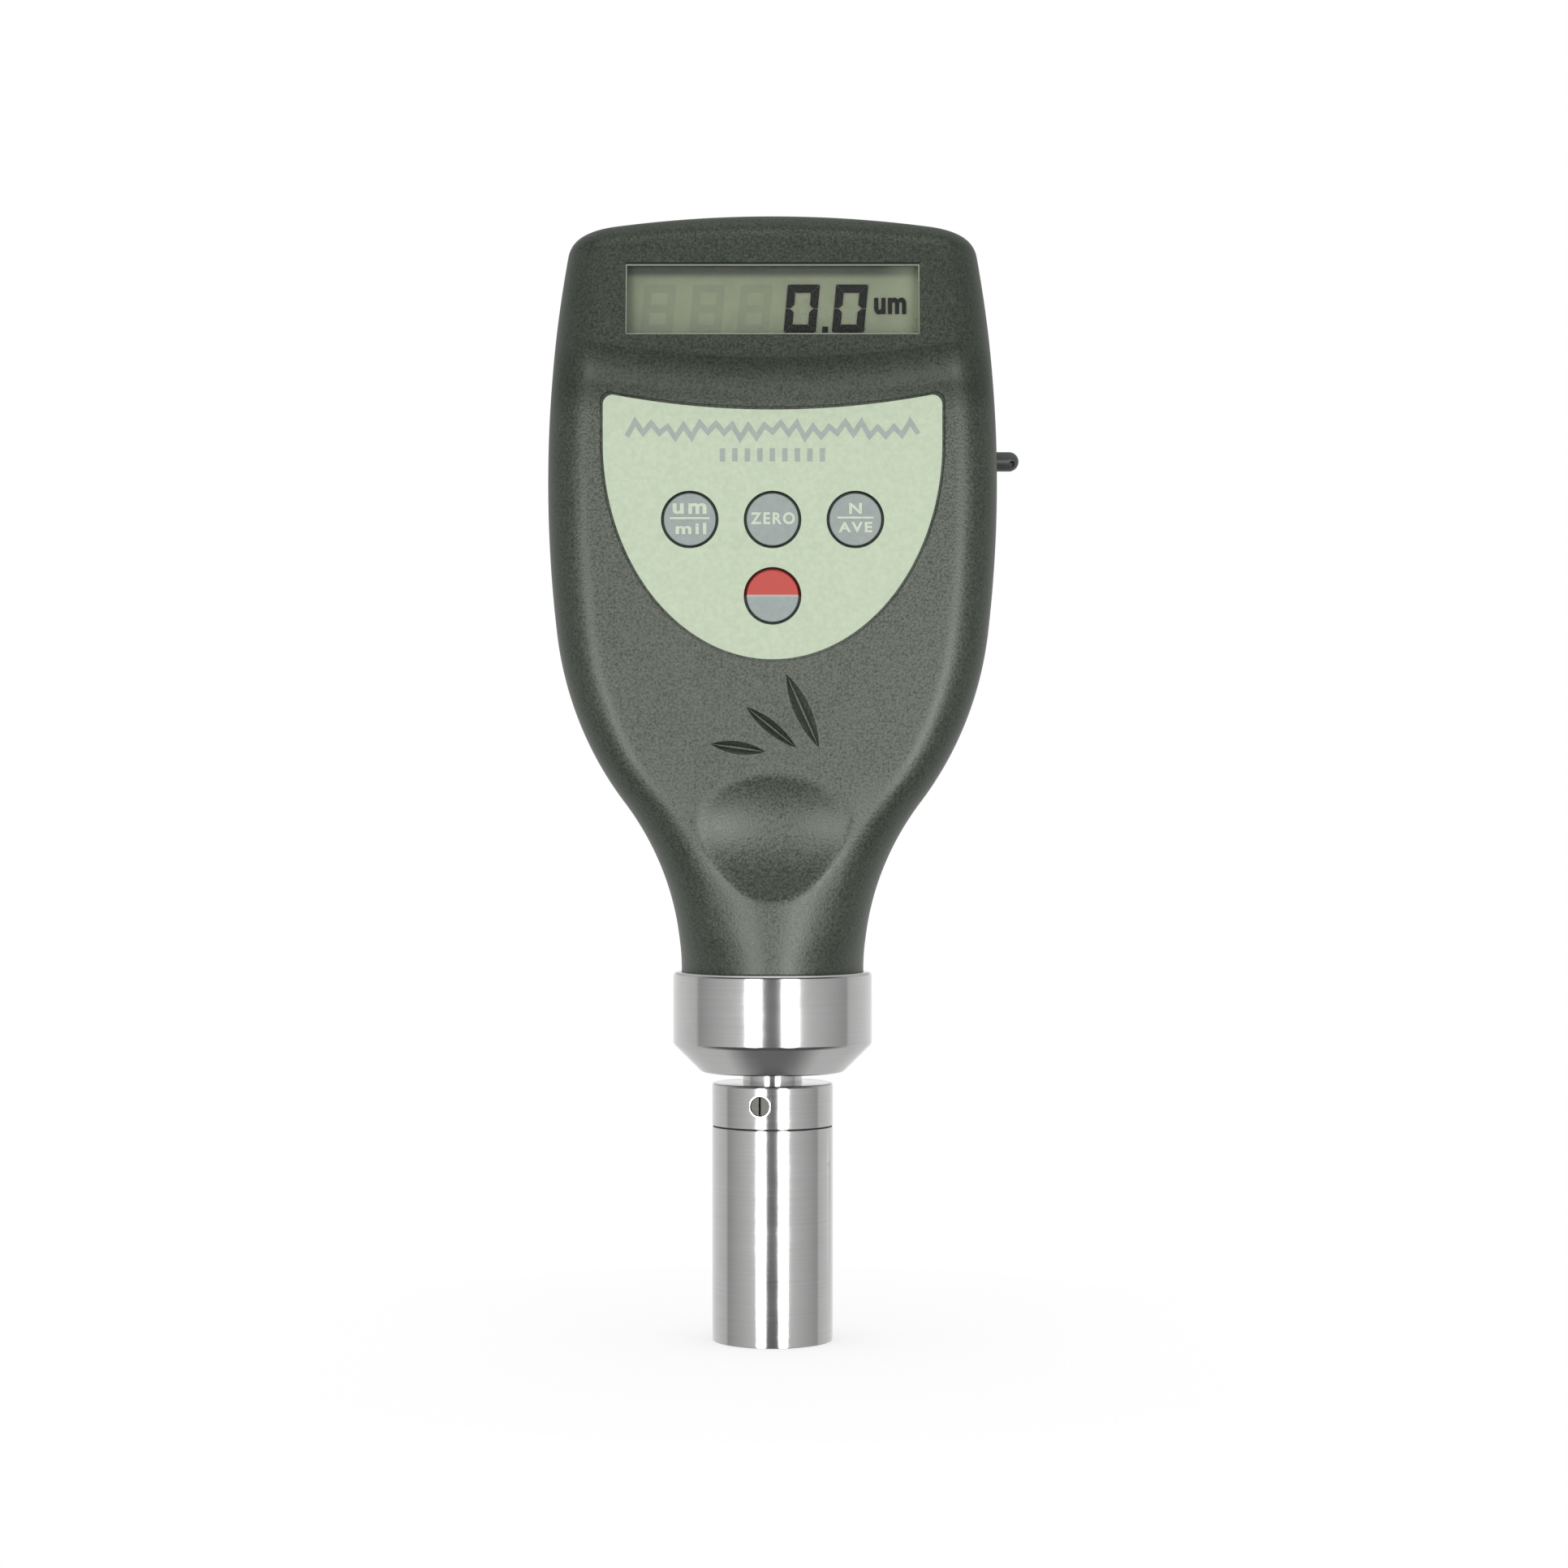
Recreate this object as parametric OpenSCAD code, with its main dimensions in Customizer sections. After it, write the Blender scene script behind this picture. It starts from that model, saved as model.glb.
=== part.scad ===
// Hand-held surface profile gauge: a digital reader on a sprung needle probe.
// Millimetres. The origin is the centre of the foot face, +Z runs up the probe and the front faces -Y.

/* [Casing] */
// Greatest width of the casing
case_w = 63.8; // [63:0.2:76]
// Height of the casing above the collar's rim
case_h = 106.8; // [104:0.05:124]
// Diameter of the round neck
neck_d = 26.2; // [24:0.1:29]
// Depth of the front plateau ahead of the parting plane
front_d = 12.4; // [12:0.1:15]
// Depth of the back behind the parting plane
back_d = 13.5; // [13.2:0.1:17]
// Wall thickness
wall = 2; // [1.8:0.1:2.4]
// Radius of the bowed sides
side_r = 181; // [160:0.5:240]
// Radius of the shoulder below the sides
shoulder_r = 49.3; // [46:0.1:58]
// Radius of the flare above the neck
flare_r = 39.7; // [36:0.1:46]
// Distance of the widest place below the crown
wide_drop = 37.25; // [34:0.05:44]
// Rounding of the long edges
edge_r = 6.3; // [4.5:0.1:7]
// Rounding of the two top corners
corner_r = 3.8; // [3.2:0.1:6]
// Radius of the crowned top
crown_r = 168; // [140:1:260]
// Rounding of the top edge
top_r = 3; // [2.8:0.1:4]

/* [Display] */
// Width of the display window
window_w = 41.2; // [34:0.1:42]
// Height of the display window
window_h = 9.9; // [8:0.1:11]
// Height of the window's centre below the crown
window_drop = 12.2; // [11:0.05:14]
// Rise of the display bezel above the plateau
bezel_rise = 1.6; // [0.8:0.1:2.2]
// Lean of the display bezel in degrees
bezel_tilt = 7.5; // [3:0.5:9]
// Distance of the crease below the crown
crease_drop = 21.85; // [20.5:0.05:24]
// Radius of the curved crease under the bezel
crease_r = 149; // [110:1:240]

/* [Keypad] */
// Width of the keypad overlay
overlay_w = 47.6; // [42:0.2:50]
// Distance of the overlay's widest line below the crown
overlay_drop = 32.25; // [30:0.05:36]
// Depth of the overlay's rounded lower part
overlay_low = 30.4; // [27:0.1:33]
// Height of the overlay's upper corners over its widest line
overlay_up = 6.7; // [5:0.1:7.2]
// Dip of the overlay's top edge
overlay_dip = 2.1; // [1:0.1:3]
// Thickness of the keypad overlay
overlay_t = 0.4; // [0.3:0.05:0.6]
// Gap round the overlay in its recess
overlay_gap = 0.3; // [0.2:0.05:0.5]
// Diameter of a key cap
key_d = 7.5; // [6.5:0.1:8.2]
// Radial gap round a key cap
key_gap = 0.25; // [0.2:0.05:0.4]
// Distance between neighbouring keys
key_pitch = 11.6; // [10.8:0.1:13]
// Distance of the key row below the crown
key_drop = 43.05; // [41:0.05:46]
// Distance of the power key below the key row
power_gap = 10.7; // [10.2:0.1:13]
// Travel of a key
key_travel = 0.4; // [0.25:0.05:0.45]

/* [Grip] */
// Width of the thumb dimple
dimple_w = 27.2; // [22:0.1:30]
// Height of the thumb dimple
dimple_h = 17.4; // [15:0.2:19]
// Height of the thumb dimple's centre above the collar's rim
dimple_up = 19.85; // [17:0.05:23]
// Depth of the thumb dimple
dimple_d = 2.2; // [1.2:0.1:2.6]
// Depth of the leaf grooves
leaf_d = 0.55; // [0.3:0.05:0.8]

/* [Collar] */
// Radial step from the neck to the collar
collar_step = 1.22; // [1:0.02:2]
// Height of the collar
collar_h = 14.45; // [13:0.05:18]
// Radial clearance between the neck and the collar's socket
neck_fit = 0.1; // [0.05:0.05:0.2]

/* [Probe] */
// Diameter of the foot and the lock ring
foot_d = 17.4; // [16.4:0.1:20]
// Height of the probe sleeve
sleeve_h = 30.7; // [29:0.1:36]
// Height of the lock ring
ring_h = 6.35; // [5.6:0.05:8]
// Bare stem between the lock ring and the collar
stem_gap = 1.55; // [1:0.05:4]
// Diameter of the stem
stem_d = 8.56; // [8:0.02:9.4]
// Height of the lock screw above the split line
lock_up = 3.5; // [2.6:0.1:4]
// Diameter of the lock screw
lock_d = 2.76; // [2:0.02:3.2]
// Height of the small mark on the sleeve
mark_up = 25.5; // [10:0.1:28]
// Diameter of the needle
needle_d = 3; // [2.4:0.1:3.2]
// Diameter of the needle's rod above its stop
rod_d = 2; // [1.6:0.1:2.4]
// Diameter of the core on the rod
core_d = 4; // [3.4:0.1:4.4]
// Travel of the needle below the foot
needle_travel = 1; // [0.6:0.1:1.4]
// Angle of the needle's point in degrees
needle_angle = 60; // [50:1:70]
// Radial running clearance of the needle
needle_fit = 0.04; // [0.02:0.01:0.08]
// Turn of the lock screw towards -X in degrees
lock_turn = 12.2; // [0:0.2:30]

/* [Battery bay] */
// Diameter of a cell
cell_d = 10.4; // [10:0.1:10.5]
// Length of a cell with its nub
cell_l = 44.4; // [43.5:0.1:44.6]
// Gap between cells
cell_gap = 0.5; // [0.3:0.05:0.7]
// Clearance round the sliding cover
cover_gap = 0.15; // [0.1:0.05:0.25]

/* [Port] */
// Distance of the port below the crown
port_drop = 33.25; // [30:0.05:38]
// Diameter of the port plug
plug_d = 2.8; // [2.4:0.1:3.4]
// How far the port plug stands out of the casing
plug_out = 3.16; // [2.6:0.02:4]

/* [Hidden] */
$fn = 64;
neck_r = neck_d / 2;
foot_r = foot_d / 2;
stem_r = stem_d / 2;
needle_r = needle_d / 2;
collar_r = neck_r + collar_step;

// Heights up the gauge
z_split = sleeve_h;
z_ring = z_split + ring_h;
z_collar = z_ring + stem_gap;
z_rim = z_collar + collar_h;
z_top = z_rim + case_h;
z_socket = z_collar + 7.4;
z_bot = z_socket + 0.1;

// Arcs of the outline: neck, shoulder, side, top corner and crown
c_side = [case_w / 2 - side_r, z_top - wide_drop];
c_flare = [neck_r + flare_r, z_rim + 0.4];
c_crown = [0, z_top - crown_r];
function meet(p, a, q, b) = let (d = q - p, n = norm(d), e = d / n,
    t = (a * a - b * b + n * n) / (2 * n), h = sqrt(max(a * a - t * t, 0)))
    p + e * t + h * [-e[1], e[0]];
c_shoulder = meet(c_side, side_r - shoulder_r, c_flare, shoulder_r + flare_r);
c_corner = meet(c_side, side_r - corner_r, c_crown, crown_r - corner_r);
function unit(v) = v / norm(v);
z_side = (c_side + unit(c_shoulder - c_side) * side_r)[1];
z_turn = (c_shoulder + unit(c_flare - c_shoulder) * shoulder_r)[1];
to_side = c_corner - c_side;
to_crown = c_corner - c_crown;
turn_a = atan2(to_side[1], to_side[0]);
turn_b = atan2(to_crown[1], to_crown[0]);
z_corner = c_corner[1] + corner_r * sin(turn_a);
function arc_x(c, r, z) = sqrt(max(r * r - (z - c[1]) * (z - c[1]), 0));
function half_w(z) =
    z >= z_side ? c_side[0] + arc_x(c_side, side_r, z) :
    z >= z_turn ? c_shoulder[0] + arc_x(c_shoulder, shoulder_r, z) :
    z >= c_flare[1] ? c_flare[0] - arc_x(c_flare, flare_r, z) : neck_r;

// Display crease and bezel
z_crease = z_top - crease_drop;
crease_sag = pow(half_w(z_crease), 2) / (2 * crease_r);
fillet_l = 4.3;
edge_l = 1.2;
function rise(dz) = dz < -fillet_l ? 0 :
    dz <= edge_l ? bezel_rise * pow((dz + fillet_l) / (fillet_l + edge_l), 2) :
    bezel_rise - (dz - edge_l) * tan(bezel_tilt);

// Sections of the casing, blended from the round neck to the squared head
function smooth(t) = let (u = min(1, max(0, t))) u * u * (3 - 2 * u);
function square_at(z) = smooth((z - z_rim - 4) / 27);
function depth_at(z, d) = neck_r + (d - neck_r) * square_at(z);
function section(w, f, e, b, lift, arcs, flats) = let (s = concat(
    [[-w, 0, 0]],
    [for (a = arcs) [-(w - e) - e * cos(a), -(f - e) - e * sin(a), sin(a)]],
    [for (i = [1:flats - 1]) [(w - e) * (2 * i / flats - 1), -f, 1]],
    [for (j = [len(arcs) - 1:-1:0]) [w - e + e * cos(arcs[j]), -(f - e) - e * sin(arcs[j]), sin(arcs[j])]],
    [[w, 0, 0]]), n = len(s) - 1)
    [for (i = [0:n]) let (t = 180 * i / n, cx = -w * cos(t), cy = -f * sin(t))
        [cx + (s[i][0] - cx) * b, cy + (s[i][1] - cy) * b - lift * s[i][2]]];
function level(z, d, t) = [z, z, half_w(z) - t, depth_at(z, d) - t, edge_r - t, square_at(z), 0];
function bent(zc, zs, d, t, lift) = [zc, zs, half_w(zs) - t, d - t, edge_r - t, 1, lift];
function capped(k, d, t, lift) = let (a = turn_a + (turn_b - turn_a) * k, r = top_r - t,
    cut = r * (1 - cos(90 * k)))
    [z_top - top_r + r * sin(90 * k), c_corner[1] + (corner_r - t) * sin(a),
     c_corner[0] + (corner_r - t) * cos(a), d - t - cut, edge_r - t - cut * 0.8, 1, lift * (1 - k)];
function mix(a, b, t) = a + (b - a) * t;
// Height on the back where the level rings begin to follow the crown
z_bend = z_top - 30;
// Rings from the neck's end to the crown, set in by t for the inside
function front_rings(t) = concat([level(z_bot, front_d, t)],
    [for (i = [0:22]) level(mix(z_rim, z_crease - 8, i / 22), front_d, t)],
    [for (dz = [-fillet_l, -3.1, -2, -1, 0, 0.7, edge_l])
        bent(z_crease + dz, z_crease + dz + crease_sag, front_d, t, t > 0 ? 0 : rise(dz))],
    [for (i = [1:4])
        let (zc = mix(z_crease + edge_l, z_top - top_r, i / 4),
            zs = mix(z_crease + edge_l + crease_sag, z_corner, i / 4))
        bent(zc, zs, front_d, t, t > 0 ? 0 : rise(zc - z_crease))],
    [for (k = [1:5]) capped(k / 5, front_d, t, t > 0 ? 0 : rise(z_top - top_r - z_crease))]);
function back_rings(t) = concat([level(z_bot, back_d, t)],
    [for (i = [0:20]) level(mix(z_rim, z_bend, i / 20), back_d, t)],
    [for (i = [1:4]) bent(mix(z_bend, z_top - top_r, i / 4), mix(z_bend, z_corner, i / 4), back_d, t, 0)],
    [for (k = [1:5]) capped(k / 5, back_d, t, 0)]);
fine_arcs = [12, 25, 38, 51, 64, 77, 90];
plain_arcs = [22.5, 45, 67.5, 90];
function ring_points(r, arcs, flats) = [for (p = section(r[2], r[3], r[4], r[5], r[6], arcs, flats))
    [p[0], p[1], mix(r[0], r[1], pow(p[0] / r[2], 2))]];
function skin(rings, arcs, flats) = [for (r = rings) each ring_points(r, arcs, flats)];
function seam(rings, arcs, flats) = let (p = ring_points(rings[len(rings) - 1], arcs, flats))
    [for (i = [1:len(p) - 2]) [p[i][0], 0, p[i][2]]];
function ring_n(arcs, flats) = 2 * len(arcs) + flats + 1;
// Faces of one skin, wound outwards, from the index where its points begin
function skin_faces(s, n, m) = concat(
    [for (k = [0:m - 2], i = [0:n - 2]) let (a = s + k * n + i) [a, a + n, a + n + 1]],
    [for (k = [0:m - 2], i = [0:n - 2]) let (a = s + k * n + i) [a, a + n + 1, a + 1]],
    let (l = s + (m - 1) * n, q = s + m * n - 1) concat(
        [[l, q + 1, l + 1]],
        [for (i = [1:n - 3]) [l + i, q + i, q + i + 1, l + i + 1]],
        [[l + n - 2, q + n - 2, l + n - 1]]));
function turned(f) = [for (i = [len(f) - 1:-1:0]) f[i]];
function run(a, b) = [for (i = [a:b]) i];
// The edge of a skin along the parting plane's top, left to right
function brow(s, n, m) = concat([s + (m - 1) * n], run(s + m * n, s + m * n + n - 3), [s + m * n - 1]);
// Faces between an outer run and an inner run with half as many steps
function strip(o, i) = [for (j = [0:len(i) - 2]) [o[2 * j], o[2 * j + 1], o[2 * j + 2], i[j + 1], i[j]]];

outer_flats = 12;
inner_flats = 5;
module half_shell(outer, inner) {
    n = ring_n(fine_arcs, outer_flats);
    ni = ring_n(plain_arcs, inner_flats);
    m = len(outer);
    s = n * m + n - 2;
    polyhedron(
        points = concat(skin(outer, fine_arcs, outer_flats), seam(outer, fine_arcs, outer_flats),
            skin(inner, plain_arcs, inner_flats), seam(inner, plain_arcs, inner_flats)),
        faces = concat(skin_faces(0, n, m), [for (f = skin_faces(s, ni, m)) turned(f)],
            strip(run(0, n - 1), run(s, s + ni - 1)),
            [for (f = strip(brow(0, n, m), brow(s, ni, m))) turned(f)],
            [for (k = [0:m - 2]) [k * n, s + k * ni, s + (k + 1) * ni, (k + 1) * n]],
            [for (k = [1:m - 1]) [k * n - 1, (k + 1) * n - 1, s + (k + 1) * ni - 1, s + k * ni - 1]]),
        convexity = 6);
}

module half_solid(rings) {
    n = ring_n(fine_arcs, outer_flats);
    m = len(rings);
    left = [for (k = [0:m - 2]) k * n];
    right = [for (k = [m - 1:-1:1]) k * n - 1];
    polyhedron(points = concat(skin(rings, fine_arcs, outer_flats), seam(rings, fine_arcs, outer_flats)),
        faces = concat(skin_faces(0, n, m), [run(0, n - 1)], [turned(concat(left, brow(0, n, m), right))]),
        convexity = 4);
}

// Depths inside the casing, front to back
y_plate = -(front_d - wall);
y_recess = -(front_d - overlay_t - 0.1);
board_t = 1.6;
y_board = y_plate + 3.8;
y_back = y_board + board_t;
y_window = y_plate - 1.2;
y_lcd = y_plate + 0.1;
lcd_t = 2.2;
lcd_gap = 0.1;
lens_gap = 0.1;
lens_t = 1;
z_window = z_top - window_drop;
lcd_w = window_w + 4.8;
lcd_h = window_h + 3.4;
strip_h = 1.8;
strip_in = 1.2;
lens_w = window_w + 2.4;
lens_h = window_h + 2.2;
frame_y = y_lcd + 1.4;
frame_wall = 0.9;
seat_gap = 0.02;
board_top = z_top - 4.2;
board_w = case_w - 16;
board_inset = 4.3;

// Keys as [x, height]
z_keys = z_top - key_drop;
z_power = z_keys - power_gap;
z_board = z_power - 10.6;
key_hole_r = key_d / 2 + key_gap;
keys = [[-key_pitch, z_keys], [0, z_keys], [key_pitch, z_keys], [0, z_power]];
key_low = 0.05;
y_key = key_low - front_d;
y_flange = y_plate + 0.8;
flange_h = 0.7;
flange_out = 0.7;
stub_r = 1.5;
switch_w = 6;
switch_h = 1.8;
switch_hole_r = 1.75;
switch_floor = 0.3;
y_switch = y_board - switch_h;
button_r = 1.6;
button_out = 0.65;
y_button = y_switch - button_out;
y_foot = y_board - switch_floor - 0.1 - key_travel;

// Keypad overlay: half an ellipse under a concave top edge
z_overlay = z_top - overlay_drop;
overlay_c = 1.4;
function overlay_shape(g) = let (a = overlay_w / 2 + g, b = overlay_low + g, t = overlay_up + g,
    c = overlay_c, m = a - c) concat(
        [for (q = [180:7.5:360]) [a * cos(q), b * sin(q)]],
        [for (q = [0:22.5:90]) [m + c * cos(q), t - c + c * sin(q)]],
        [for (i = [1:15]) let (x = m * (1 - 2 * i / 16)) [x, t - overlay_dip * (1 - pow(x / m, 2))]],
        [for (q = [90:22.5:180]) [-m + c * cos(q), t - c + c * sin(q)]]);

// Leaf grooves as [x, distance below the overlay, length, width, turn], cut from just above the skin
leaf_lip = 0.06;
leaves = [[4.2, 7.2, 11.3, 2.3, -66], [-0.2, 9.5, 9.1, 1.75, -39], [-4.85, 12.4, 7.7, 1.8, -8]];
function leaf_shape(l, w) = let (h = l / 2, r = (h * h + w * w / 4) / w, q = asin(h / r)) concat(
    [for (i = [0:12]) let (a = q - i * q / 6) [r * sin(a), w / 2 - r + r * cos(a)]],
    [for (i = [1:11]) let (a = i * q / 6 - q) [r * sin(a), r - w / 2 - r * cos(a)]]);
z_dimple = z_rim + dimple_up;

// Stem flange, caught between ribs in the neck
flange_r = neck_r - wall - 1.4;
z_flange = z_rim + 4;
flange_t = 3;
rib_t = 2;

// Battery bay
bay_n = 4;
cell_step = cell_d + cell_gap;
bay_w = bay_n * cell_step + 0.3;
bay_wall = 1.9;
bay_rim = 0.3;
bay_end = 1.5;
bay_floor = 1;
spring_room = 6.6;
bay_l = cell_l + spring_room;
z_bay1 = z_top - 7.5;
z_bay0 = z_bay1 - bay_l;
cover_t = 1.4;
tongue_t = 1.2;
y_tongue = back_d - cover_t - tongue_t;
y_cell = y_tongue - 0.15 - cell_d / 2;
y_bay = y_cell - cell_d / 2 - 0.15;
cover_w = bay_w + 0.2;
tongue_w = cover_w + 2.6;
z_cover = z_bay0 - bay_end;
toe_l = 1.4;
grip_n = 6;
grip_w = 18;
grip_h = 0.9;
grip_step = 2;
grip_up = 6;

// Fixings. Case bosses as [x, height, depth of the front end], two beside the display and two below the bay
boss_r = 2.3;
boss_in = 1.5;
z_boss = z_top - 15;
low_boss_x = 14.5;
case_bosses = [for (s = [-1, 1]) [s * (half_w(z_boss) - wall - boss_in), z_boss, y_board + 0.3],
    for (s = [-1, 1]) [s * low_boss_x, z_cover - 13.5, y_plate - 0.8]];
board_bosses = [for (s = [-1, 1], z = [z_board + 4, z_crease - 1.6]) [s * (board_w / 2 - board_inset), z]];
board_boss_r = 2.1;
head_y = 6;
head_r = 2.2;
sink_r = head_r + 0.25;
head_t = 1.58;
thread_r = 1.15;
thread_l = 9.6;
y_tip = head_y - head_t - thread_l;
pan_r = 1.9;
pan_t = 1.3;
pan_thread_r = 0.85;
pan_thread_l = 4.6;

// Data port on the right
z_port = z_top - port_drop;
port_x = half_w(z_port);
plug_r = plug_d / 2;
port_hole_r = plug_r + 0.15;
plug_fit = 0.08;
eye_r = 0.45;
eye_floor = 0.2;
jack_x = bay_w / 2 + bay_wall + 0.3;
plug_in = port_x - jack_x - 1.75;
jack_h = 6.8;

// Probe internals
bore_r = foot_r - 2.8;
press = 0.02;
bevel = 0.28;
mark_turn = 68;
mark_r = 0.8;
mark_d = 0.3;
plug_back = 0.25;
hole_r = needle_r + 0.2;
lip_t = 1.2;
chamber_r = bore_r - 0.9;
floor_t = 5;
bush_top = floor_t + 1.5;
rod_r = rod_d / 2;
core_r = core_d / 2;
coil_hole = core_r + 0.35;
tip_r = 0.06;
stop_z = bush_top + needle_travel + 0.05;
stop_t = 1;
stop_r = coil_hole + 1;
spring_l = 3.9;
z_coil = stop_z + stop_t + spring_l;
spigot_l = 3.6;
z_spigot = z_split - spigot_l;
z_rod = z_spigot + 2.6;
z_seat = z_split + 0.9;
bush_r = 2.6;
bush_l = 3;
lead_hole = 1.5;
stem_bore = lead_hole;
stem_fit = 0.03;
ring_round = 0.35;
z_stem = z_rim + 11;
z_lock = z_split + lock_up;
lock_r = lock_d / 2;

// Faces of a tube of m rings with n points each
function tube_faces(n, m) = concat(
    [for (k = [0:m - 2], i = [0:n - 1]) let (a = k * n + i, b = k * n + (i + 1) % n) [a, b, b + n]],
    [for (k = [0:m - 2], i = [0:n - 1]) let (a = k * n + i, b = k * n + (i + 1) % n) [a, b + n, a + n]],
    [turned(run(0, n - 1))], [run((m - 1) * n, m * n - 1)]);

// Shared cutters and blocks
module facing(x, y, z) {
    translate([x, y, z]) rotate([90, 0, 0]) children();
}

// A block centred on the window, from depth y0 to y1
module slab(w, h, y0, y1) {
    translate([-w / 2, y0, z_window - h / 2]) cube([w, y1 - y0, h]);
}

module ribs() {
    for (z = [z_flange - rib_t - 0.05, z_flange + flange_t + 0.05])
        translate([0, 0, z]) difference() {
            cylinder(r = neck_r - wall + 0.6, h = rib_t);
            translate([0, 0, -1]) cylinder(r = stem_r + 0.2, h = rib_t + 2);
        }
}

module half_space(s) {
    translate([-case_w, s > 0 ? 0 : -case_w, 0]) cube([2 * case_w, case_w, z_top]);
}

module port_hole() {
    translate([port_x - 6, 0, z_port]) rotate([0, 90, 0]) cylinder(r = port_hole_r, h = 12);
}

// The dimple is a barrel laid across the thumb
module dimple_cut() {
    y0 = -depth_at(z_dimple, front_d);
    rx = (pow(dimple_w / 2, 2) + dimple_d * dimple_d) / (2 * dimple_d);
    rz = (pow(dimple_h / 2, 2) + dimple_d * dimple_d) / (2 * dimple_d);
    translate([0, y0 - rz + dimple_d, z_dimple]) rotate([0, 90, 0]) rotate_extrude($fn = 96)
        intersection() {
            translate([rz - rx, 0]) circle(r = rx, $fn = 128);
            translate([0, -dimple_w]) square([rz + 1, 2 * dimple_w]);
        }
}

module leaf_cuts() {
    for (l = leaves) facing(l[0], -front_d, z_overlay - overlay_low - l[1]) rotate([0, 0, l[4]]) hull() {
        translate([0, 0, leaf_lip]) linear_extrude(height = 0.6)
            polygon(leaf_shape(l[2], l[3] * (1 + leaf_lip / leaf_d)));
        translate([-l[2] * 0.36, -0.02, -leaf_d]) cube([l[2] * 0.72, 0.04, 0.02]);
    }
}

module front_shell() color("dimgray") difference() {
    union() {
        half_shell(front_rings(0), front_rings(wall));
        for (b = case_bosses) facing(b[0], 0, b[1]) cylinder(r = boss_r, h = -b[2]);
        for (b = board_bosses) facing(b[0], y_board, b[1])
            cylinder(r = board_boss_r, h = y_board - y_plate + 0.8);
        intersection() {
            ribs();
            half_space(-1);
        }
        facing(0, y_plate + dimple_d + 0.2, z_dimple) cylinder(d = dimple_h + 1, h = dimple_d + 1.1);
    }
    slab(window_w, window_h, -2 * front_d, y_plate + 1);
    slab(lens_w + 2 * lens_gap, lens_h + 2 * lens_gap, y_window, y_plate + 1);
    facing(0, y_recess, z_overlay) linear_extrude(height = 1) polygon(overlay_shape(overlay_gap));
    for (k = keys) facing(k[0], y_plate + 1, k[1]) cylinder(r = key_hole_r, h = 5);
    dimple_cut();
    leaf_cuts();
    for (b = case_bosses) facing(b[0], 1, b[1]) cylinder(r = thread_r + 0.05, h = 1.4 - y_tip);
    for (b = board_bosses) facing(b[0], y_board + 1, b[1]) cylinder(r = pan_thread_r + 0.05, h = 4.4);
    port_hole();
}

// A block round the battery bay, w beyond its sides, from depth y0 to y1
module bay_block(w, y0, y1, l) {
    translate([-bay_w / 2 - w, y0, z_bay0 - bay_end]) cube([bay_w + 2 * w, y1 - y0, bay_end + l]);
}

module rear_shell() color("dimgray") difference() {
    union() {
        mirror([0, 1, 0]) half_shell(back_rings(0), back_rings(wall));
        bay_block(bay_wall, 0, back_d - wall + 0.6, bay_l + bay_end);
        bay_block(bay_rim, y_bay - bay_floor, bay_floor, bay_l + bay_end);
        bay_block(bay_wall, y_tongue - 2, back_d - wall + 0.3, bay_l + 3.6);
        for (b = case_bosses) facing(b[0], back_d - wall + 0.3, b[1])
            cylinder(r = sink_r + 0.75, h = back_d - wall - 3.3);
        for (b = case_bosses) facing(b[0], 4, b[1]) cylinder(r = boss_r, h = 4);
        intersection() {
            ribs();
            half_space(1);
        }
    }
    translate([-bay_w / 2, y_bay, z_bay0]) cube([bay_w, back_d, bay_l]);
    cover_path(cover_gap);
    for (b = case_bosses) facing(b[0], back_d + 1, b[1])
        cylinder(r = sink_r, h = back_d + 1 - head_y + head_t + seat_gap);
    for (b = case_bosses) facing(b[0], head_y, b[1]) cylinder(r = thread_r + 0.2, h = head_y + 1);
    port_hole();
}

// Room that the cover takes, grown by g all round
module cover_path(g) {
    l = z_top - z_cover + 5;
    translate([-cover_w / 2 - g, y_tongue + tongue_t - g, z_cover - g]) cube([cover_w + 2 * g, back_d, l]);
    translate([-tongue_w / 2 - g, y_tongue - g, z_cover - toe_l - g])
        cube([tongue_w + 2 * g, tongue_t + 2 * g, l]);
}

module battery_cover() color("dimgray") difference() {
    intersection() {
        mirror([0, 1, 0]) half_solid(back_rings(0));
        cover_path(0);
    }
    for (i = [0:grip_n - 1]) translate([-grip_w / 2, back_d - 0.5, z_cover + grip_up + i * grip_step])
        cube([grip_w, 2, grip_h]);
}

module display_window() color("lightcyan", 0.5)
    slab(lens_w, lens_h, y_window + seat_gap, y_window + seat_gap + lens_t);

module lcd_panel() color("darkseagreen") slab(lcd_w, lcd_h, y_lcd, y_lcd + lcd_t);

module lcd_frame() color("black") difference() {
    slab(lcd_w + 2 * (lcd_gap + frame_wall), lcd_h + 2 * (lcd_gap + frame_wall), frame_y, y_board);
    slab(lcd_w + 2 * lcd_gap, lcd_h + 2 * lcd_gap, y_lcd, y_board + 1);
}

module contact_strips() color("black") for (s = [-1, 1])
    translate([0, 0, s * (lcd_h / 2 - strip_in)]) slab(lcd_w - 2, strip_h, y_lcd + lcd_t, y_board);

module keypad_overlay() color("palegreen") difference() {
    facing(0, y_recess, z_overlay) linear_extrude(height = overlay_t) polygon(overlay_shape(0));
    for (k = keys) facing(k[0], y_recess + 1, k[1]) cylinder(r = key_hole_r, h = 3);
}

// A cap with a retaining flange behind the wall and a stub on the switch button
module key_cap(k) {
    facing(k[0], y_flange, k[1]) cylinder(d = key_d, h = y_flange - y_key);
    facing(k[0], y_flange, k[1]) cylinder(r = key_hole_r + flange_out, h = flange_h);
    facing(k[0], y_button - seat_gap, k[1])
        cylinder(r = stub_r, h = y_button - seat_gap - y_flange + flange_h);
}

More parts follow.
